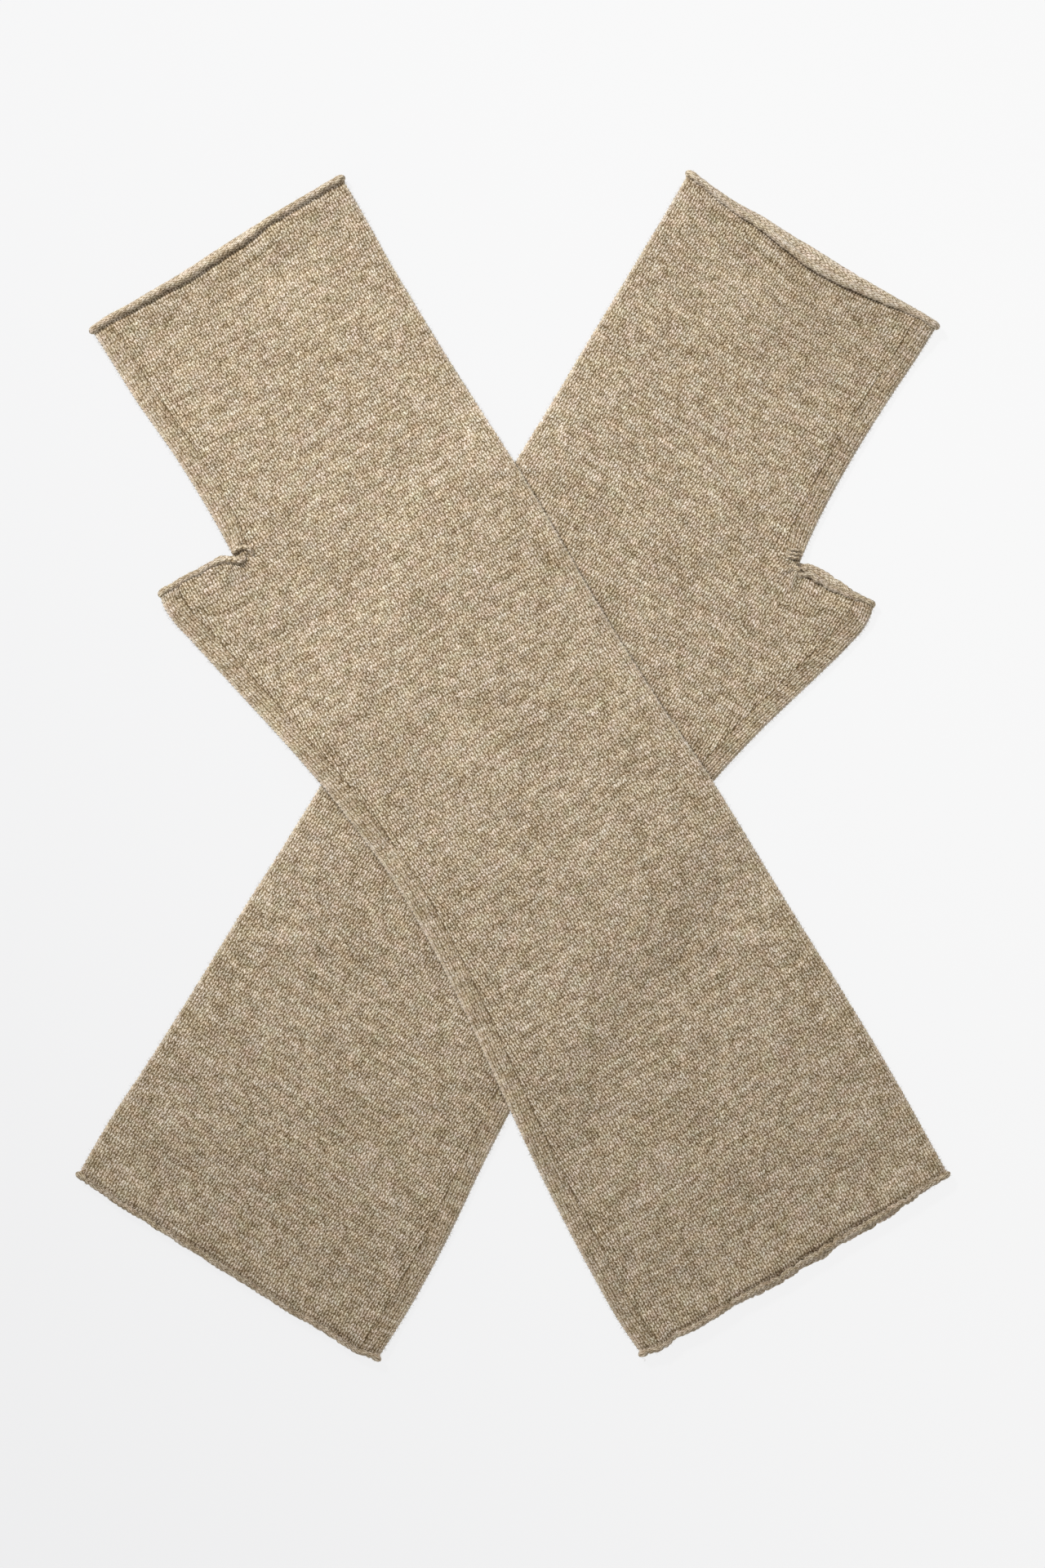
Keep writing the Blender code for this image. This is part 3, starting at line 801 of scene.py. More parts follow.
def knit_panel(mitten):
    """The panel of one mitten, as three lengths of tube that meet stitch by stitch."""
    rows, wales = row_plan(mitten), wales_at_widest(mitten)
    points, uv, edges = panel_points(mitten, rows, wales)
    cells, count = panel_cells(rows, wales)
    cloth = cloth_from(points, uv, cells, edges)
    stations = np.array([row.station for row in rows])
    in_arm = np.array([row.in_arm for row in rows])
    length = in_arm.astype(int) + (stations >= WRIST_END - COURSE / 3)
    pieces = []
    for number, part in enumerate(("hand", "wrist", "arm")):
        faces = []
        for cells_left in (cloth.quads, cloth.triangles):
            first_row = (cells_left // count).min(axis=1)
            faces.append(cells_left[length[first_row] == number])
        pieces.append(sew(f"{mitten.name}_{part}_knit", cloth, *faces))
    return pieces


panels = {mitten.name: knit_panel(mitten) for mitten in PAIR}

# %% [markdown]
# ## The curled edges
# Plain knit rolls towards its face at a raw edge, so each mouth ends in a soft cord that shows
# the purl side. It could be made by rolling the panel's own mesh, but the roll is closed and
# only its outside is seen, so a cord swept round the mouth does it: front run, tight turn, back
# run, tight turn. Little bumps laid like bricks are the purl side. No two wales stand out by
# the same amount, because a raw edge never curls evenly.

# %% The three mouths
THUMB_ROOM = (-1.4, 0.3)  # how far past the crotch and the seamed edge its curl may reach

Roll = namedtuple("Roll", "name curl station in_arm sense first limits")


def rolls_of(mitten):
    """The three curled edges of one mitten, and the room that each has across it."""
    start, root = crotch(mitten)
    arm_end, hand_end = mitten.arm_mouth[0].line, mitten.hand_mouth[0].line
    thumb_line = mitten.thumb_mouth[0].line
    root = max(float(smooth_read(mitten.hand_part, "seam", thumb_line)), root)
    hand_limits = [float(e) for e in side_edges(mitten, hand_end, False)]
    arm_limits = [float(e) for e in side_edges(mitten, arm_end, True)]
    thumb_limits = [root + THUMB_ROOM[0], mitten.arm_part[0].seam + THUMB_ROOM[1]]
    thumb_first = float(main_share(mitten, start))
    return (
        Roll("hand", HAND_CURL, 0.0, False, 1, 0.0, hand_limits),
        Roll("arm", ARM_CURL, arm_end, True, -1, 0.0, arm_limits),
        Roll("thumb", THUMB_CURL, start, True, 1, thumb_first, thumb_limits),
    )


for roll in rolls_of(LOWER):
    print("lower", roll.name, "curl has", round(roll.limits[1] - roll.limits[0], 1), "mm across")

# %% The path of a curled edge
TURN_POINTS, RUN_POINTS = 9, 97  # points of the path round a side edge and along a layer
RINGS_PER_WALE = 4
SAME_PLACE = 1e-6
NUB = 0.16  # how much fatter the cord is at a corner of the mitten
START_THIN = 0.25  # how much thinner it is where the thumb's curl starts
FILL = 0.8  # share of the gap under a dipping front edge that the back layer's curl fills
THUMB_START, START_DROP = 0.16, 1.8  # the thumb's curl starts low, at the crotch


def once_round(first):
    """Shares across, turns and edges for a path once round a mouth."""
    quarter = np.linspace(-math.pi / 2, math.pi / 2, TURN_POINTS)
    run = np.linspace(first, 1, RUN_POINTS)
    flat = np.ones_like(run) * math.pi / 2
    share = np.concatenate([0 * quarter + first, run, 0 * quarter + 1, run[::-1]])
    turn = np.concatenate([quarter, flat, -quarter, -flat])
    return share, turn, np.repeat([-1, 0, 1, 0], [TURN_POINTS, RUN_POINTS] * 2)


def bent_row(mitten, roll, station, share, turn):
    """Places along and across the mitten on a row beside a mouth."""
    along = bend_rows(mitten, station, share, turn, roll.in_arm)
    fold, seam = side_edges(mitten, along, roll.in_arm)
    return along, fold + EDGE_ROUND + share * (seam - fold - 2 * EDGE_ROUND)


def roll_path(mitten, roll):
    """The cord's centre line, the way out, its plumpness and its spare width at each point."""
    share, turn, edge = once_round(roll.first)
    half = roll.curl.radius + roll.curl.slot
    inset = half + roll.curl.cord
    edge_along, across = bent_row(mitten, roll, roll.station, share, turn)
    across = np.clip(across, roll.limits[0] + inset, roll.limits[1] - inset)
    across = across + edge * half * np.cos(turn)
    mouth_share = (share - roll.first) / (1 - roll.first)
    start = fade(mouth_share, THUMB_START) * (roll.name == "thumb")
    gap = smooth_read(getattr(mitten, roll.name + "_mouth"), "dip", mouth_share)
    fill = FILL / 2 * gap * np.clip(-np.sin(turn), 0, None)
    along = edge_along - roll.sense * (roll.curl.cord - CORD_OVERLAP - fill) + START_DROP * start
    height = curl_height(roll.curl) / 2 + half * np.sin(turn)
    centres = place(mitten, along, across, height)
    sideways = directions(mitten)[1]
    out = np.stack(
        [sideways[0] * edge * np.cos(turn), sideways[1] * edge * np.cos(turn), np.sin(turn)], axis=1
    )
    steps = np.linalg.norm(np.diff(centres, axis=0), axis=1)
    keep = np.concatenate([[True], steps > SAME_PLACE])
    plump = 1 + NUB * (np.abs(edge) * np.cos(turn))[keep] - START_THIN * start[keep]
    centres, out, fill = centres[keep], out[keep], fill[keep]
    reach = reach_along(centres)
    wales = round(reach[-1] / mitten.wale)
    even = np.linspace(0, reach[-1], wales * RINGS_PER_WALE + 1)
    centres, out = (
        np.stack([np.interp(even, reach, line[:, k]) for k in range(3)], axis=1)
        for line in (centres, out)
    )
    plump, fill = np.interp(even, reach, plump), np.interp(even, reach, fill)
    return centres, unit(out), plump, fill, wales


for roll in rolls_of(LOWER):
    print("lower", roll.name, "roll goes round in", roll_path(LOWER, roll)[-1], "wales")


# %% The purl side in relief
PURL_WIDE, PURL_LONG = 0.52, 0.34  # half sizes of one bump, in wales and courses
PURL_HEIGHT, PURL_SINK = 0.26, 0.14
BRAID = 0.24  # how far the bumps of one course lean against those of the next


def bump(across, along):
    """A soft round bump in each cell of a pattern, 1 at its middle."""
    a, b = across - np.floor(across) - 0.5, along - np.floor(along) - 0.5
    return np.sqrt(np.clip(1 - (a / PURL_WIDE) ** 2 - (b / PURL_LONG) ** 2, 0, None))


def purl_relief(wales, courses):
    """Height of the purl side: short bumps laid like bricks."""
    bumps = np.maximum(bump(wales, courses), bump(wales + 0.5, courses + 0.5))
    return PURL_HEIGHT * bumps - PURL_SINK


def zigzag(value):
    """Up and down between -1 and 1, once in every two."""
    return 1 - 2 * np.abs(value % 2 - 1)


print("a bump stands", purl_relief(np.array([0.5]), np.array([0.5]))[0].round(2), "mm out")

# %% The curled edges themselves
ROLL_SIDES, ROLL_COURSES = 32, 8  # points and courses round the cord
WAVES = (1.9, 2.7, 4.3, 7.1, 12.0)  # wales to each wave of the line on which the cord lies
LUMP_MOST, LUMP_EVEN = 1.6, 0.64  # how far one wale may stand out, and how far it does anyway
SHIFT = 0.6  # how far a wale is shifted, as a share of its lumps
CORD_SKIN = 0.05


def curl_edge(mitten, roll):
    """One mouth's curled edge."""
    centres, out, plump, fill, wales = roll_path(mitten, roll)
    curl = roll.curl
    lengthways = np.append(directions(mitten)[0] * roll.sense, 0.0)
    wale = np.linspace(0, wales, len(centres))[:, None]
    angle = np.linspace(0, 2 * math.pi, ROLL_SIDES + 1)[None, :]
    course = angle / (2 * math.pi) * ROLL_COURSES * (1 + fill[:, None] / 3)
    chance = seeded(mitten, len(roll.name) + 3, len(roll.name) + 8)
    waves = [(round(wales / wave), chance.uniform(0, 2 * math.pi)) for wave in WAVES]
    lap = wale / wales * 2 * math.pi
    uneven = sum(np.sin(lap * turns + phase) for turns, phase in waves) / 2
    braid = wale + BRAID * zigzag(course)
    relief = purl_relief(braid, course)
    lumps = chance.uniform(0.0, LUMP_MOST, wales)[wale.astype(int) % wales]
    lumps = curl.lump * lumps * (np.abs(np.sin(math.pi * wale)) - LUMP_EVEN)
    shifts = np.append(chance.normal(0, SHIFT * curl.lump, wales), 0.0)
    plump = plump[:, None] + curl.rough / 2 * uneven
    ahead = curl.cord * plump + fill[:, None] + relief + lumps
    outward = (curl.radius + CORD_SKIN) * plump + relief
    stray = curl.rough * uneven + np.interp(wale, np.arange(wales + 1), shifts)
    points = swept(
        centres, np.cos(angle) * ahead + stray, lengthways, np.sin(angle) * outward, out[:, None, :]
    )
    points[-1] = points[0]
    return sew_grid(f"{mitten.name}_{roll.name}_roll", points, braid, course)


curled = {
    mitten.name: {roll.name: curl_edge(mitten, roll) for roll in rolls_of(mitten)}
    for mitten in PAIR
}

# %% [markdown]
# ## Knots of cloth at the crotch
# Where the thumb mouth starts, the end of the curled edge turns over onto the upper mitten's
# front as a knob with a second curl round it. On the lower one, three stitches of the binding
# lie across. They are short cords that follow a few measured places.

# %% Knots of cloth at the crotch
Spot = namedtuple("Spot", "share along across lift")
KNOT_SIDES, KNOT_STEPS, KNOT_COURSES = 14, 40, 4
KNOT_BLUNT, KNOT_RELIEF = 6, 0.9
KNOTS = {
    "upper": (
        (0.95, (
            (0.0, 80.9, 92.4, -0.4), (0.3, 81.9, 89.9, 0.5), (0.6, 83.4, 88.0, 0.7),
            (0.85, 84.1, 86.3, 0.5), (1.0, 83.3, 85.0, 0.0),
        )),
        (0.72, (
            (0.0, 80.7, 88.2, 0.2), (0.3, 80.6, 85.8, 0.5), (0.6, 81.5, 83.6, 0.5),
            (0.85, 83.3, 82.8, 0.3), (1.0, 85.0, 83.3, -0.3),
        )),
    ),
    "lower": (
        (0.5, ((0.0, 85.1, 85.2, 0.0), (0.5, 84.5, 87.3, 0.4), (1.0, 83.6, 89.3, -0.1))),
        (0.45, ((0.0, 84.0, 85.0, 0.0), (0.5, 83.3, 87.2, 0.4), (1.0, 82.4, 89.0, -0.1))),
        (0.42, ((0.0, 82.9, 84.9, 0.0), (0.5, 82.2, 86.7, 0.35), (1.0, 81.4, 88.3, -0.1))),
    ),
}


def lay_knot(mitten, number, girth, rows):
    """A short curl of cloth that lies on the panel and is drawn in at both ends."""
    spots = table(Spot, rows)
    share = np.linspace(0, 1, KNOT_STEPS + 1)
    along, across, lift = (smooth_read(spots, name, share) for name in Spot._fields[1:])
    top = underside(mitten, along, across) + 2 * HALF_TUBE
    centres = place(mitten, along, across, top + lift)
    side = unit(np.cross(np.gradient(centres, axis=0), UP))
    wale = reach_along(centres)[:, None] / mitten.wale
    angle = np.linspace(0, 2 * math.pi, KNOT_SIDES + 1)
    course = angle / (2 * math.pi) * KNOT_COURSES
    braid = wale + BRAID * zigzag(course)
    around = girth * (1 - (2 * share[:, None] - 1) ** KNOT_BLUNT) ** 0.5
    around = around * (1 + KNOT_RELIEF * purl_relief(braid, course) / girth)
    points = swept(centres, np.cos(angle) * around, side[:, None, :], np.sin(angle) * around, UP)
    return sew_grid(f"{mitten.name}_crotch_knot_{number}", points, braid, course)


knots = {
    mitten.name: [
        lay_knot(mitten, number + 1, girth, rows)
        for number, (girth, rows) in enumerate(KNOTS[mitten.name])
    ]
    for mitten in PAIR
}

# %% [markdown]
# ## The inside of the mouths
# Where a front edge dips, the inside of the back layer shows, with its purl side up. A band of
# cloth one wall further in, a centimetre deep, is enough, because no light gets deeper into a
# mitten that lies flat.

# %% The inside of the mouths
BAND_DEPTH = 12.0
BAND_TUCK = 0.6  # how far it reaches under the curled edge
BAND_SAG = 0.22  # how far its upper layer lies down, under the groove beside the curl
INNER_ROUND = 0.3
INSIDE_RELIEF = 0.5  # its relief, as a share of the curled edges'
BACK_WALES = 100  # where the count of the back layer's wales starts


def line_mouth(mitten, roll):
    """The inner face of the cloth just inside one mouth."""
    share, turn, edge = once_round(roll.first)
    rows = round(BAND_DEPTH / COURSE)
    station = roll.station + roll.sense * np.linspace(-BAND_TUCK, BAND_DEPTH, rows + 1)[:, None]
    count = np.arange(rows + 1)[:, None]
    along, across = bent_row(mitten, roll, station, share, turn)
    across = across + edge * INNER_ROUND * np.cos(turn)
    wale = (across - across.min()) / mitten.wale + BACK_WALES * (turn < 0)
    relief = INSIDE_RELIEF * purl_relief(wale, count)
    sag = BAND_SAG * np.clip(np.sin(turn), 0, 1)
    height = tube_middle(mitten, along, across) + (LAYER_GAP / 2 - relief) * np.sin(turn) - sag
    points = place(mitten, along, across, height)
    return sew_grid(f"{mitten.name}_{roll.name}_inside", points, np.arange(len(share)) / 2, count)


linings = {
    mitten.name: [line_mouth(mitten, roll) for roll in rolls_of(mitten)]
    for mitten in PAIR
}

# %% [markdown]
# ## The joining seam
# The panel is linked along the thumb side with a chain of small loops, one to a course, that
# peeps out at the very edge. A thin cord whose girth swells once in each course reads as that
# chain, and costs far less than real loops would.

# %% The joining seam
CHAIN_RADIUS, CHAIN_SIDES = 0.5, 8
CHAIN_STEPS = 4  # rings to a course
CHAIN_INSET = 0.8  # how far in from the seamed edge it lies
CHAIN_WAVE, WAVE_STEP = 0.1, 2.4  # how far it goes up and down, and how much further each ring
LOOP_THIN, LOOP_SWELL, LOOP_TALL = 0.68, 0.4, 1.3  # its girth between two loops and on them


def seam_chain(mitten, part, begin, finish, in_arm):
    """The chain of loops along one stretch of the seamed edge."""
    courses = round((finish - begin) / COURSE)
    station = np.linspace(begin, finish, courses * CHAIN_STEPS + 1)
    ring, turn = np.arange(len(station)), np.zeros_like(station)
    along = bend_rows(mitten, station, turn + 1, turn, in_arm)
    seam = side_edges(mitten, along, in_arm)[1]
    middle = tube_middle(mitten, along, seam) + CHAIN_WAVE * np.sin(ring * WAVE_STEP)
    centres = place(mitten, along, seam - CHAIN_INSET, middle)
    angle = np.linspace(0, 2 * math.pi, CHAIN_SIDES + 1)
    beat = np.abs(np.sin(ring * math.pi / CHAIN_STEPS))[:, None]
    girth = CHAIN_RADIUS * (LOOP_THIN + LOOP_SWELL * beat)
    sideways = np.append(directions(mitten)[1], 0.0)
    points = swept(centres, np.cos(angle) * girth, sideways, np.sin(angle) * girth * LOOP_TALL, UP)
    course = np.linspace(0, courses, len(station))[:, None]
    return sew_grid(f"{mitten.name}_{part}_seam", points, angle / math.pi, course)


chains = {
    mitten.name: [
        seam_chain(mitten, "hand", 0.0, crotch(mitten)[0], False),
        seam_chain(mitten, "arm", crotch(mitten)[0], mitten.arm_mouth[0].line, True),
    ]
    for mitten in PAIR
}

# %% [markdown]
# ## Fine wool fibres
# Wool is never quite smooth: short fibres stand out of the yarn and soften its outline. A
# particle system would be lost in other programs, so each fibre is a small closed spike of its
# own. Only the outline has them, because over the cloth itself they would not be seen.

# %% Where the fibres grow
OUTLINE_STEP = 0.25  # distance between two places on a side edge
ROOT_INSET = 0.25  # how deep in the edge they start
CROTCH_FREE = 2.0  # stretch of the seamed edge before the crotch that has none
CURL_SHARE = 0.8  # how far out on the curled edges they start


def outline_of(mitten):
    """Places along the side edges and over the mouths, and the way out of the cloth at each."""
    start, arm_end = crotch(mitten)[0], mitten.arm_mouth[0].line
    lengthways, sideways = (np.append(way, 0.0) for way in directions(mitten))
    places, ways = [], []
    for edge, sign, hand_end in ((0, -1.0, start), (1, 1.0, start - CROTCH_FREE)):
        for begin, finish, in_arm in ((0.0, hand_end, False), (start, arm_end, True)):
            along = np.arange(begin, finish, OUTLINE_STEP)
            across = side_edges(mitten, along, in_arm)[edge]
            height = tube_middle(mitten, along, across)
            places.append(place(mitten, along, across - sign * ROOT_INSET, height))
            ways.append(np.outer(np.ones_like(along), sign * sideways))
    for roll in rolls_of(mitten):
        centres, out = roll_path(mitten, roll)[0], -roll.sense * lengthways
        places.append(centres + out * roll.curl.cord * CURL_SHARE)
        ways.append(np.outer(np.ones(len(centres)), out))
    return np.concatenate(places), np.concatenate(ways)


print("fibres may grow at", len(outline_of(UPPER)[0]), "places of the upper mitten")

# %% Fine wool fibres
FIBRES_PER_MM = 4.5
MOUTHS_LENGTH = 230.0  # length of outline at the mouths that is counted for them
FIBRE_GIRTH = 0.03
FIBRE_STRAY, ROOT_STRAY = 0.55, 0.12  # how much their ways and roots differ
LENGTH_SHAPE, LENGTH_SCALE = 4.0, 0.12  # most are about half a millimetre long
SHORTEST, LONGEST = 0.2, 1.1
ROOT_DEPTH = 0.3
SPIKE_TURNS = (0.0, 2.1, 4.2)  # where the three corners of its foot are, in radians
SPIKE_FACES = ([0, 1, 3], [1, 2, 3], [2, 0, 3], [0, 2, 1])
YARN_SPREAD = 40  # counts of wales and courses from which a fibre's colour is picked


def wool_fibres(mitten):
    """Many short fibres round one mitten, as one piece."""
    places, ways = outline_of(mitten)
    chance = seeded(mitten, 61, 62)
    count = round(FIBRES_PER_MM * (2 * mitten.arm_mouth[0].line + MOUTHS_LENGTH))
    pick = chance.integers(0, len(places), count)
    way = unit(ways[pick] + chance.normal(0, FIBRE_STRAY, (count, 3)))
    long = chance.gamma(LENGTH_SHAPE, LENGTH_SCALE, (count, 1)).clip(SHORTEST, LONGEST)
    root = places[pick] + chance.normal(0, ROOT_STRAY, (count, 3))
    root[:, 2] += chance.uniform(-1, 1, count)
    side = unit(np.cross(way, UP))
    up = np.cross(side, way)
    foot = [
        root + FIBRE_GIRTH * (math.cos(angle) * side + math.sin(angle) * up)
        for angle in SPIKE_TURNS
    ]
    points = np.stack([*foot, root + way * (long + ROOT_DEPTH)], axis=1)
    points[..., 2] = np.maximum(points[..., 2], ABOVE_TABLE)
    flat, first = points.reshape(-1, 3), 4 * np.arange(count)[:, None]
    faces = np.concatenate([first + corners for corners in SPIKE_FACES])
    outward = unit(flat - np.repeat(root + way * ROOT_DEPTH, 4, axis=0))
    uv = np.repeat(chance.uniform(0, YARN_SPREAD, (count, 2)), 4, axis=0)
    quads = np.zeros((0, 4), int)
    cloth = Cloth(flat, outward, np.arange(len(flat)), quads, faces, uv, None)
    return sew(f"{mitten.name}_fibres", cloth)


fibres = {mitten.name: wool_fibres(mitten) for mitten in PAIR}

# %% [markdown]
# ## Mixing the wool
# The yarn is spun from cream, beige and brown fibres, with a little rust, blue-grey and olive.
# No two stitches match, and neighbours on one course are alike, because the yarn runs along
# it. A picture could not be used here, so the colour is mixed from nodes. `Recipe` keeps that
# readable: each line is one sum on the count of wales and courses.


# %% A small helper for node sums
class Recipe:
    """Builds a material's node tree one sum at a time."""

    def __init__(self, name):
        self.material = bpy.data.materials.new(name)
        self.material.use_nodes = True
        self.tree = self.material.node_tree
        self.shader = self.tree.nodes["Principled BSDF"]

    def fill(self, socket, value):
        """Link a socket to another one, or set its own value."""
        if isinstance(value, bpy.types.NodeSocket):
            self.tree.links.new(value, socket)
        elif value is not None:
            socket.default_value = value

    def node(self, kind, *values, output=0, **settings):
        """One node with its settings and its inputs in order, giving back an output."""
        made = self.tree.nodes.new(kind)
        for setting, value in settings.items():
            setattr(made, setting, value)
        for socket, value in zip(made.inputs, values):
            self.fill(socket, value)
        return made.outputs[output]

    def sum(self, operation, *values):
        """One sum on numbers."""
        return self.node("ShaderNodeMath", *values, operation=operation)

    def ease(self, value, low, high, to_low=0.0, to_high=1.0):
        """A value brought smoothly from one range to another."""
        return self.node(
            "ShaderNodeMapRange", value, low, high, to_low, to_high, interpolation_type="SMOOTHSTEP"
        )

    def fall(self, value, low, high):
        """1 up to the low end, easing down to 0 at the high one."""
        return self.ease(value, low, high, 1.0, 0.0)

    def nudge(self, value, chance, share):
        """A value moved by a share of how far a chance is from its middle, a half."""
        return self.sum("MULTIPLY_ADD", self.sum("SUBTRACT", chance, 0.5), share, value)

    def spot(self, x, y, z=0.0):
        """Three numbers as one place."""
        return self.node("ShaderNodeCombineXYZ", x, y, z)

    def apart(self, value):
        """The three numbers in a place or a colour."""
        return self.node("ShaderNodeSeparateXYZ", value).node.outputs

    def noise(self, place, scale, output=0):
        """Soft noise at a place, from 0 to 1; output 1 gives three of them at once."""
        return self.node(
            "ShaderNodeTexNoise", place, None, scale, 1.0, output=output, noise_dimensions="3D"
        )

    def middle(self, value):
        """How far a count is from the middle of its whole number."""
        return self.sum("ABSOLUTE", self.sum("SUBTRACT", self.sum("FRACT", value), 0.5))

    def grain(self, across, along, wide, long):
        """A rounded grain: 1 on its crest, falling to 0 at its outline."""
        left = 1.0
        for value, reach in ((across, wide), (along, long)):
            share = self.sum("DIVIDE", value, reach)
            left = self.sum("SUBTRACT", left, self.sum("MULTIPLY", share, share))
        return self.sum("SQRT", self.sum("MAXIMUM", left, 0.0))

    def ramp(self, value, stops):
        """A colour read from a few stops."""
        made = self.tree.nodes.new("ShaderNodeValToRGB")
        self.tree.links.new(value, made.inputs[0])
        while len(made.color_ramp.elements) < len(stops):
            made.color_ramp.elements.new(1.0)
        for element, (position, colour) in zip(made.color_ramp.elements, stops):
            element.position, element.color = position, colour
        return made.outputs[0]

    def blend(self, share, first, second):
        """Two colours mixed by a share; its node keeps them in its seventh and eighth input."""
        unused = [None] * 5
        return self.node(
            "ShaderNodeMix", share, *unused, first, second, output=2, data_type="RGBA"
        )

    def surface(self, **finish):
        """Fill the shader's sockets, named with _ for each space; gives the material back."""
        for name, value in finish.items():
            self.fill(self.shader.inputs[name.replace("_", " ")], value)
        return self.material


print("a recipe can make", ", ".join(name for name in vars(Recipe) if name[0] != "_"))

# %% [markdown]
# ## The wool's colours
# First the shape of the yarn in each stitch is worked out, as a crest from 0 in the gaps to 1
# on top. Then each leg of yarn gets a tone by chance, a streak that runs along its course and
# a soft cloud, and a faint tint leans it to rust, olive or blue-grey in patches of two or three
# stitches. The gaps get painted shade, so they turn darker and browner in the same wool. Beside
# the side edges the wool is paler and plainer: on the rim, where the tube turns, that is a
# painted highlight, and along the seam a strip is paler and plainer. Painted shade darkens the
# trough where the wales end at that strip, and the gaps between its wales.

# %% The wool's colours
# Tone, from the painted shade between two stitches to the palest fibre, and its colour
TONES = (
    (0.0, (0.114, 0.071, 0.0285, 1)),
    (0.28, (0.308, 0.226, 0.131, 1)),
    (0.52, (0.543, 0.443, 0.317, 1)),
    (0.76, (0.787, 0.68, 0.54, 1)),
    (1.0, (0.945, 0.86, 0.74, 1)),
)
RUSTY, BLUISH = 0.2, 0.25  # how far patches of the wool lean to rust or olive, and to blue-grey
PULL_SCALE, WALE_PULL, COURSE_PULL = 1.2, 0.45, 0.6  # how unevenly the stitches are pulled
LEAN_WALES, LEAN_COURSES, LEAN_LAYER = 0.33, 0.36, 30.0
OWN_TONE = 0.18  # how much each leg's own tone counts
YARN_RELIEF, RELIEF_SHARE, STRAND_RELIEF = 0.3, 0.8, 0.5  # the bump's height, and its strands' part
ROUGH, SHEEN, SHEEN_ROUGH = 0.9, 0.1, 0.5
WOOL_GLOSS, FIBRE_GLOSS = 0.3, 0.2

# A cloud of tone: its scale across and along, its layer in the noise, and how much it counts
Cloud = namedtuple("Cloud", "across along layer share")
STREAK = Cloud(0.42, 0.62, 0.0, 0.44)  # from stitch to stitch along a course
PATCH = Cloud(0.07, 0.09, 7.0, 0.14)  # over many wales and courses
BAND = Cloud(0.13, 0.55, 13.0, 0.28)  # a long streak
STRAND = Cloud(5.4, 2.4, 3.0, 1.1)  # the fine strands in one leg
print("wool tones:", len(TONES), "stops and four clouds of tone")

# %% The wool beside the side edges
SEAM_RIM_LIGHT, FOLD_RIM_LIGHT = 2.6, 1.7  # how wide the painted highlight on the rim is at the seamed and the folded edge
STRIP_ENDS = (5.4, 7.2)  # where the paler strip along the seam fades
TROUGH_SHADE_STARTS, TROUGH_SHADE_ENDS = (5.8, 6.4), (6.8, 7.3)  # the line of painted shade along the trough beside that strip
GAP_SHADE_FADE = (9.0, 13.0)  # how far from the seam the gaps between its wales get painted shade
RIM_LIGHT_TONE, STRIP_TONE = (0.3, -0.24), (0.08, -0.14)  # how much paler, and how much plainer; on the rim this is a painted highlight
# how much painted shade darkens that trough, and the gaps between the strip's wales
TROUGH_SHADE_TONE, GAP_SHADE_TONE = -0.12, -0.14
GAP_STARTS = (0.36, 0.48)  # how far from a wale's middle its gap starts, in wales


def beside_edges(mix, wale, floor, rise):
    """The knit's floor and rise, changed beside the side edges."""
    seam, fold = mix.apart(mix.node("ShaderNodeUVMap", uv_map="edges"))[:2]
    # painted highlight on the rim, where the tube turns at either side edge
    rim = mix.sum("MAXIMUM", mix.fall(seam, 0.0, SEAM_RIM_LIGHT), mix.fall(fold, 0.0, FOLD_RIM_LIGHT))
    strip = mix.fall(seam, *STRIP_ENDS)
    for where, (paler, plainer) in ((rim, RIM_LIGHT_TONE), (strip, STRIP_TONE)):
        floor = mix.sum("MULTIPLY_ADD", where, paler, floor)
        rise = mix.sum("MULTIPLY_ADD", where, plainer, rise)
    # painted shade along the trough where the wales end at the strip
    line = mix.sum("MULTIPLY", mix.ease(seam, *TROUGH_SHADE_STARTS), mix.fall(seam, *TROUGH_SHADE_ENDS))
    floor = mix.sum("MULTIPLY_ADD", line, TROUGH_SHADE_TONE, floor)
    # painted shade in the gaps between the wales near the seam
    gap = mix.ease(mix.middle(wale), *GAP_STARTS)
    gap = mix.sum("MULTIPLY", gap, mix.fall(seam, *GAP_SHADE_FADE))
    return mix.sum("MULTIPLY_ADD", gap, GAP_SHADE_TONE, floor), rise


print("the pale rim is", SEAM_RIM_LIGHT, "mm wide at the seam")


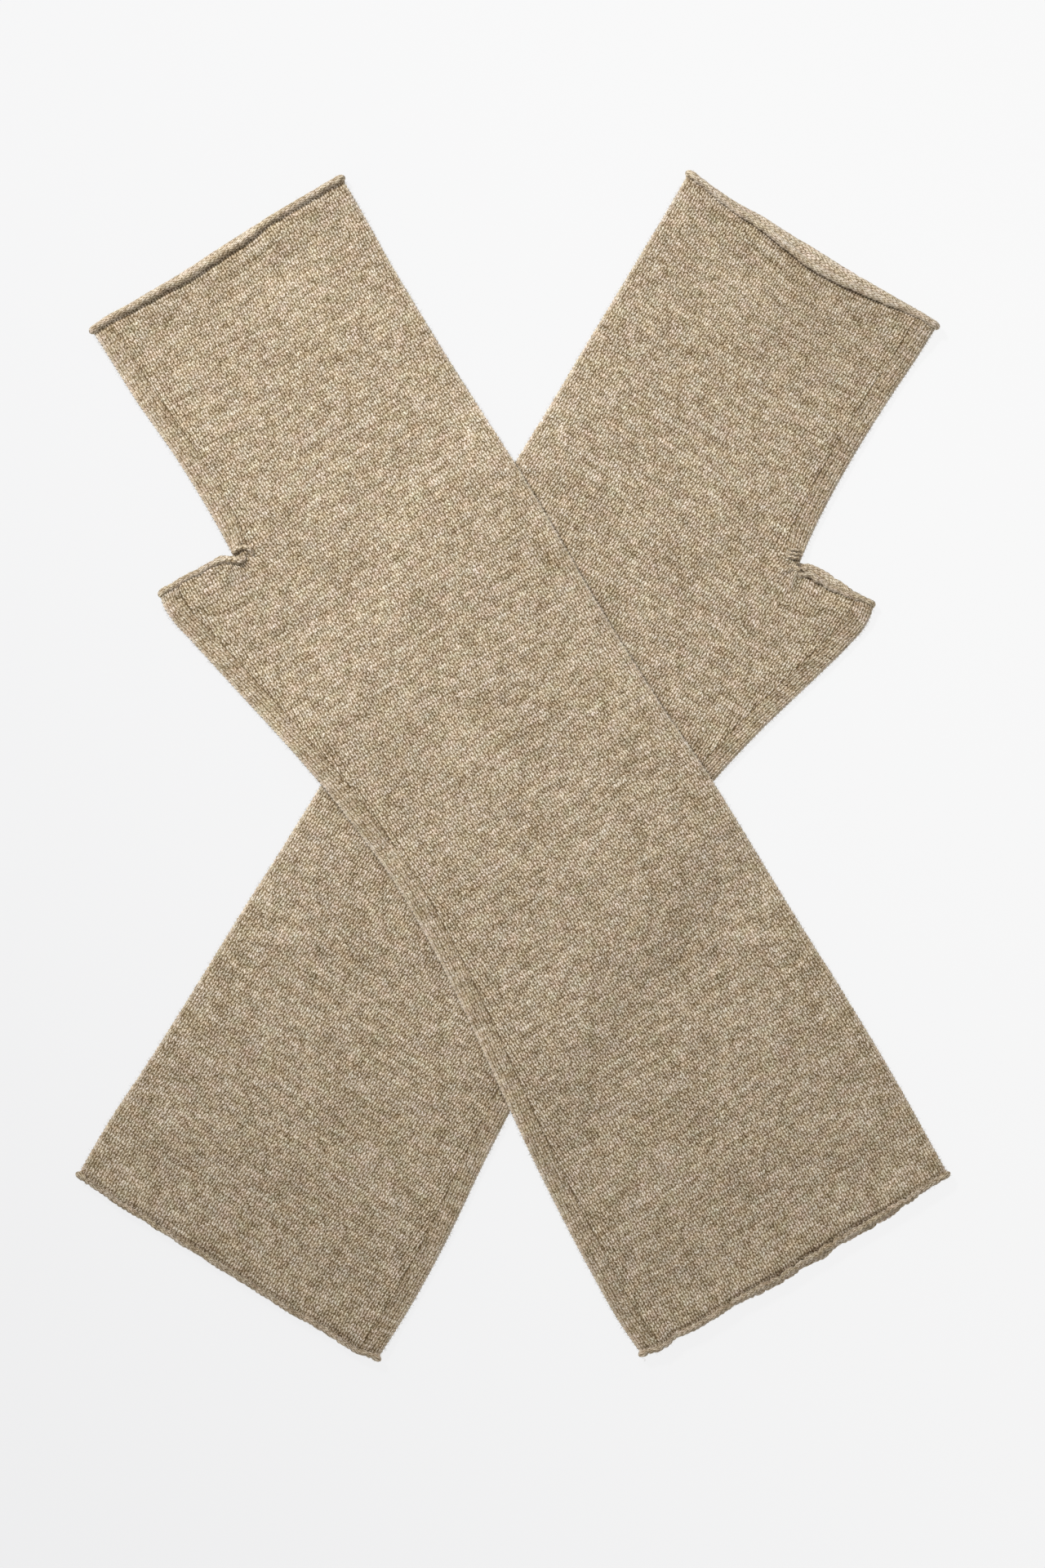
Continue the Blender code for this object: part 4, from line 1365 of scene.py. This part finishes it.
# %% The wool
def wool(name, crest_of, floor, rise, has_edges=False):
    """A heathered wool; crest_of works out the yarn's crest from the stitch counts."""
    mix = Recipe(name)
    true_wale, true_course = mix.apart(mix.node("ShaderNodeUVMap", uv_map="stitches"))[:2]
    pull = mix.apart(mix.noise(mix.spot(true_wale, true_course), PULL_SCALE, output=1))
    wale = mix.nudge(true_wale, pull[0], WALE_PULL)
    course = mix.nudge(true_course, pull[1], COURSE_PULL)
    leg = mix.sum("FLOOR", mix.sum("MULTIPLY", wale, 2.0))
    row = mix.sum("FLOOR", course)
    chance = mix.apart(
        mix.node("ShaderNodeTexWhiteNoise", mix.spot(leg, row), output=1, noise_dimensions="3D")
    )
    crest = crest_of(mix, wale, course, chance)

    def layer(across, along, number):
        """A place in the noise, from the scales across and along and the layer's number."""
        return mix.spot(mix.sum("MULTIPLY", *across), mix.sum("MULTIPLY", *along), number)

    def cloud(kind, course_count):
        spot = layer((true_wale, kind.across), (course_count, kind.along), kind.layer)
        return mix.sum("SUBTRACT", mix.noise(spot, 1.0), 0.5)

    streak, patch = cloud(STREAK, row), cloud(PATCH, true_course)
    band, strand = cloud(BAND, row), cloud(STRAND, true_course)
    own = mix.sum("SUBTRACT", chance[0], 0.5)
    if has_edges:
        floor, rise = beside_edges(mix, wale, floor, rise)
    # a low crest gives a dark tone: painted shade in the gaps between the legs
    tone = mix.sum("MULTIPLY_ADD", own, OWN_TONE, mix.sum("MULTIPLY_ADD", crest, rise, floor))
    for part, kind in ((streak, STREAK), (patch, PATCH), (band, BAND), (strand, STRAND)):
        tone = mix.sum("MULTIPLY_ADD", part, kind.share, tone)
    shade = mix.ramp(tone, TONES)
    spot = layer((true_wale, LEAN_WALES), (true_course, LEAN_COURSES), LEAN_LAYER)
    lean = mix.apart(mix.noise(spot, 1.0, output=1))
    red = mix.sum("MULTIPLY_ADD", lean[0], RUSTY, 1 - RUSTY / 2)
    blue = mix.sum("MULTIPLY_ADD", lean[1], BLUISH, 1 - BLUISH / 2)
    colour = mix.node("ShaderNodeVectorMath", shade, mix.spot(red, 1.0, blue), operation="MULTIPLY")

    relief = mix.tree.nodes.new("ShaderNodeBump")
    mix.fill(relief.inputs["Strength"], RELIEF_SHARE)
    mix.fill(relief.inputs["Distance"], YARN_RELIEF * MM)
    mix.fill(relief.inputs["Height"], mix.sum("MULTIPLY_ADD", strand, STRAND_RELIEF, crest))
    return mix.surface(
        Base_Color=colour, Normal=relief.outputs[0], Roughness=ROUGH,
        Specular_IOR_Level=WOOL_GLOSS, Sheen_Weight=SHEEN, Sheen_Roughness=SHEEN_ROUGH,
    )


print("the yarn's relief is", YARN_RELIEF, "mm high")

# %% Crests of the yarn
LEG_OUT, LEG_LEAN = 0.25, -0.17  # where a leg is, in wales from the middle, and its slope
LEG_STRAY, LEG_SLIP = 0.12, 0.3  # how far it strays sideways and along by chance
LEG_SIZE, BUMP_SIZE = (0.2, 0.61), (0.46, 0.3)  # half sizes of a leg and of a purl bump
BUMP_SLIP = 0.15


def knit_crest(mix, wale, course, chance):
    """Two legs in a V: far apart at the tip of the stitch and close together at its toe."""
    up = mix.sum("SUBTRACT", mix.sum("FRACT", course), 0.5)
    line = mix.sum("MULTIPLY_ADD", up, LEG_LEAN, LEG_OUT)
    line = mix.nudge(line, chance[1], LEG_STRAY)
    up = mix.nudge(up, chance[2], LEG_SLIP)
    return mix.grain(mix.sum("SUBTRACT", mix.middle(wale), line), up, *LEG_SIZE)


def purl_crest(mix, wale, course, chance):
    """Short bumps laid like bricks."""
    bumps = []
    for shift in (0.0, 0.5):
        across = mix.sum("SUBTRACT", mix.sum("FRACT", mix.sum("ADD", wale, shift)), 0.5)
        along = mix.sum("SUBTRACT", mix.sum("FRACT", mix.sum("ADD", course, shift)), 0.5)
        bumps.append(mix.grain(across, mix.nudge(along, chance[1], BUMP_SLIP), *BUMP_SIZE))
    return mix.sum("MAXIMUM", *bumps)


print("two crests: the knit's V and the purl's bricks")

# %% The finished wools
# the fibres' tones are raised above the knit's as a painted highlight
FIBRE_SCALE, FIBRE_NOISE, FIBRE_TONES = 3.0, (0.3, 0.7), (0.6, 0.95)


def painted_highlight_wool(name):
    """The same wool, made paler as a painted highlight where single fibres catch the light."""
    mix = Recipe(name)
    wale, course = mix.apart(mix.node("ShaderNodeUVMap", uv_map="stitches"))[:2]
    tone = mix.ease(mix.noise(mix.spot(wale, course), FIBRE_SCALE), *FIBRE_NOISE, *FIBRE_TONES)
    return mix.surface(
        Base_Color=mix.ramp(tone, TONES), Roughness=ROUGH, Specular_IOR_Level=FIBRE_GLOSS
    )


# after its crest, each wool's floor, the tone of its gaps with their painted shade, and its rise to
# the top of the yarn
fibre_wool = painted_highlight_wool("fibre_wool")
knit_wool = wool("knit_wool", knit_crest, 0.14, 0.5, has_edges=True)
purl_wool = wool("purl_wool", purl_crest, 0.165, 0.475)
# painted light and painted shade: copies of the purl wool, paler on the lower hand end, which curls
# towards the lamp, and darker on the arm ends, which curl away from it
lit_wool = wool("pale_edge_wool", purl_crest, 0.235, 0.475)
shaded_wool = wool("arm_edge_wool", purl_crest, 0.13, 0.475)
edge_wools = {
    "upper": {"hand": purl_wool, "thumb": purl_wool, "arm": shaded_wool},
    "lower": {"hand": lit_wool, "thumb": purl_wool, "arm": shaded_wool},
}
print("wool nodes:", len(knit_wool.node_tree.nodes))

# %% [markdown]
# ## Dressing the frame
# Every piece now gets its wool, rides on the one body, and hides the solid it stands for. A
# mitten is one sheet of cloth made into a tube, knitted twice the mitten's width because it goes
# all round; the side edges of each of its lengths are read, but not used further.

# %% Dressing the frame
def dress(piece, material, node):
    """Give a piece its wool and tie it to the frame."""
    piece.data.materials.append(material)
    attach(piece, "root")
    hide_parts(node)


for name in panels:
    for piece in panels[name] + chains[name]:
        dress(piece, knit_wool, name + "_panel")
    for piece in linings[name]:
        dress(piece, purl_wool, name + "_panel")
    dress(fibres[name], fibre_wool, name + "_panel")
    for part, piece in curled[name].items():
        dress(piece, edge_wools[name][part], f"{name}_{part}_curl")
    for piece in knots[name]:
        dress(piece, purl_wool, name + "_thumb_curl")
print("dressed the", " and the ".join(panels), "mitten")

# %% The side edges of each length
HAND_START = 2.0  # the hand length starts behind its curled edge
WIDTH_STEPS = 200
for mitten in PAIR:
    start, end = crotch(mitten)[0], mitten.arm_mouth[0].line
    spans = {"hand": (HAND_START, start), "wrist": (start, WRIST_END), "arm": (WRIST_END, end)}
    for piece, (part, (begin, finish)) in zip(panels[mitten.name], spans.items()):
        stations = np.linspace(begin, finish, WIDTH_STEPS)
        fold, seam = side_edges(mitten, stations, part != "hand")

# %% [markdown]
# ## Table, light and camera
# The pair lies on a plain pale table, a glass top lit from under, and is seen from straight
# above. A glowing table was chosen because a painted one would pick up a shadow that such a top
# doesn't show. A lamp beyond the hand ends fades towards the arm ends, and an even sky fills
# the rest.

# %% The table
TABLE_SIZE = 12.0
TABLE_LOW = (0.809, 0.809, 0.816, 1)  # the glass to the left
TABLE_HIGH = (0.899, 0.899, 0.899, 1)  # and to the right
GLOW_RUN = 0.9  # how far from the middle its glow still changes
NEARLY_BLACK = (0.05, 0.05, 0.05, 1)

bpy.ops.mesh.primitive_plane_add(size=TABLE_SIZE, location=(0, 0, 0))
table_top = bpy.context.object
table_top.name = "table_top"
table_top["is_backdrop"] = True
paper = Recipe("pale_glass")
axes = paper.apart(paper.tree.nodes.new("ShaderNodeTexCoord").outputs["Object"])
uphill = paper.sum("MULTIPLY_ADD", axes[0], 2.0, axes[1])
glow = paper.blend(paper.ease(uphill, -GLOW_RUN, GLOW_RUN), TABLE_LOW, TABLE_HIGH)
paper.surface(
    Base_Color=NEARLY_BLACK, Emission_Color=glow, Emission_Strength=1.0, Roughness=0.9,
    Specular_IOR_Level=0.1,
)
paper.material.cycles.emission_sampling = "NONE"  # its glow finds the wool by itself
table_top.data.materials.append(paper.material)
print("the table is", TABLE_SIZE, "m wide")

# %% Sky and lamp
SKY_STRENGTH = 0.6
LAMP_POWER, LAMP_SIZE, LAMP_REACH = 109.0, 0.12, 0.35  # watts, and metres
LAMP_PLACE, LAMP_AIM = (-0.7, 0.95, 1.2), (-0.062, 0.13, 0.0)

sky = bpy.data.worlds.new("soft_sky")
sky.use_nodes = True
sky.node_tree.nodes["Background"].inputs["Color"].default_value = (1.0, 1.0, 1.0, 1)
sky.node_tree.nodes["Background"].inputs["Strength"].default_value = SKY_STRENGTH
bpy.context.scene.world = sky

lamp = bpy.data.lights.new("window", "SPOT")
lamp.energy, lamp.shadow_soft_size, lamp.spot_blend = LAMP_POWER, LAMP_SIZE, 1.0
window = bpy.data.objects.new("window", lamp)
window.location = LAMP_PLACE
beam = Vector(LAMP_AIM) - window.location
window.rotation_euler = beam.to_track_quat("-Z", "Y").to_euler()
lamp.spot_size = 2 * math.atan(LAMP_REACH / beam.length)
bpy.context.scene.collection.objects.link(window)
print(f"the lamp hangs {beam.length:.2f} m from where it points")

# %% Camera
LENS, SENSOR = 100.0, 36.0
VIEW_HEIGHT = 1.3333  # from there the frame is 0.48 m high, a quarter of a millimetre to a pixel
CLOTH_HEIGHT = 0.004  # and that holds at the cloth's height

lens = bpy.data.cameras.new("overhead")
lens.lens, lens.sensor_width = LENS, SENSOR
lens.clip_start, lens.clip_end = 0.1, 10.0
camera = bpy.data.objects.new("overhead", lens)
camera.location = (0.00275, -0.006, VIEW_HEIGHT + CLOTH_HEIGHT)
bpy.context.scene.collection.objects.link(camera)
bpy.context.scene.camera = camera
bpy.context.scene.view_settings.view_transform = "Standard"
bpy.context.scene.view_settings.look = "None"
print(f"the frame is {VIEW_HEIGHT * SENSOR / LENS:.2f} m high")

# %% [markdown]
# ## Measure and finish
# The dressed pair must stay the size of its solids, so both boxes are written down and can be
# compared after each render.

# %% Measure and finish
bpy.context.view_layer.update()
visual_box = [list(corner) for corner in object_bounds()]
for name, box in (("solids", cad_box), ("dressed", visual_box)):
    print(name, [round((high - low) * 1000, 1) for low, high in zip(*box)], "mm")
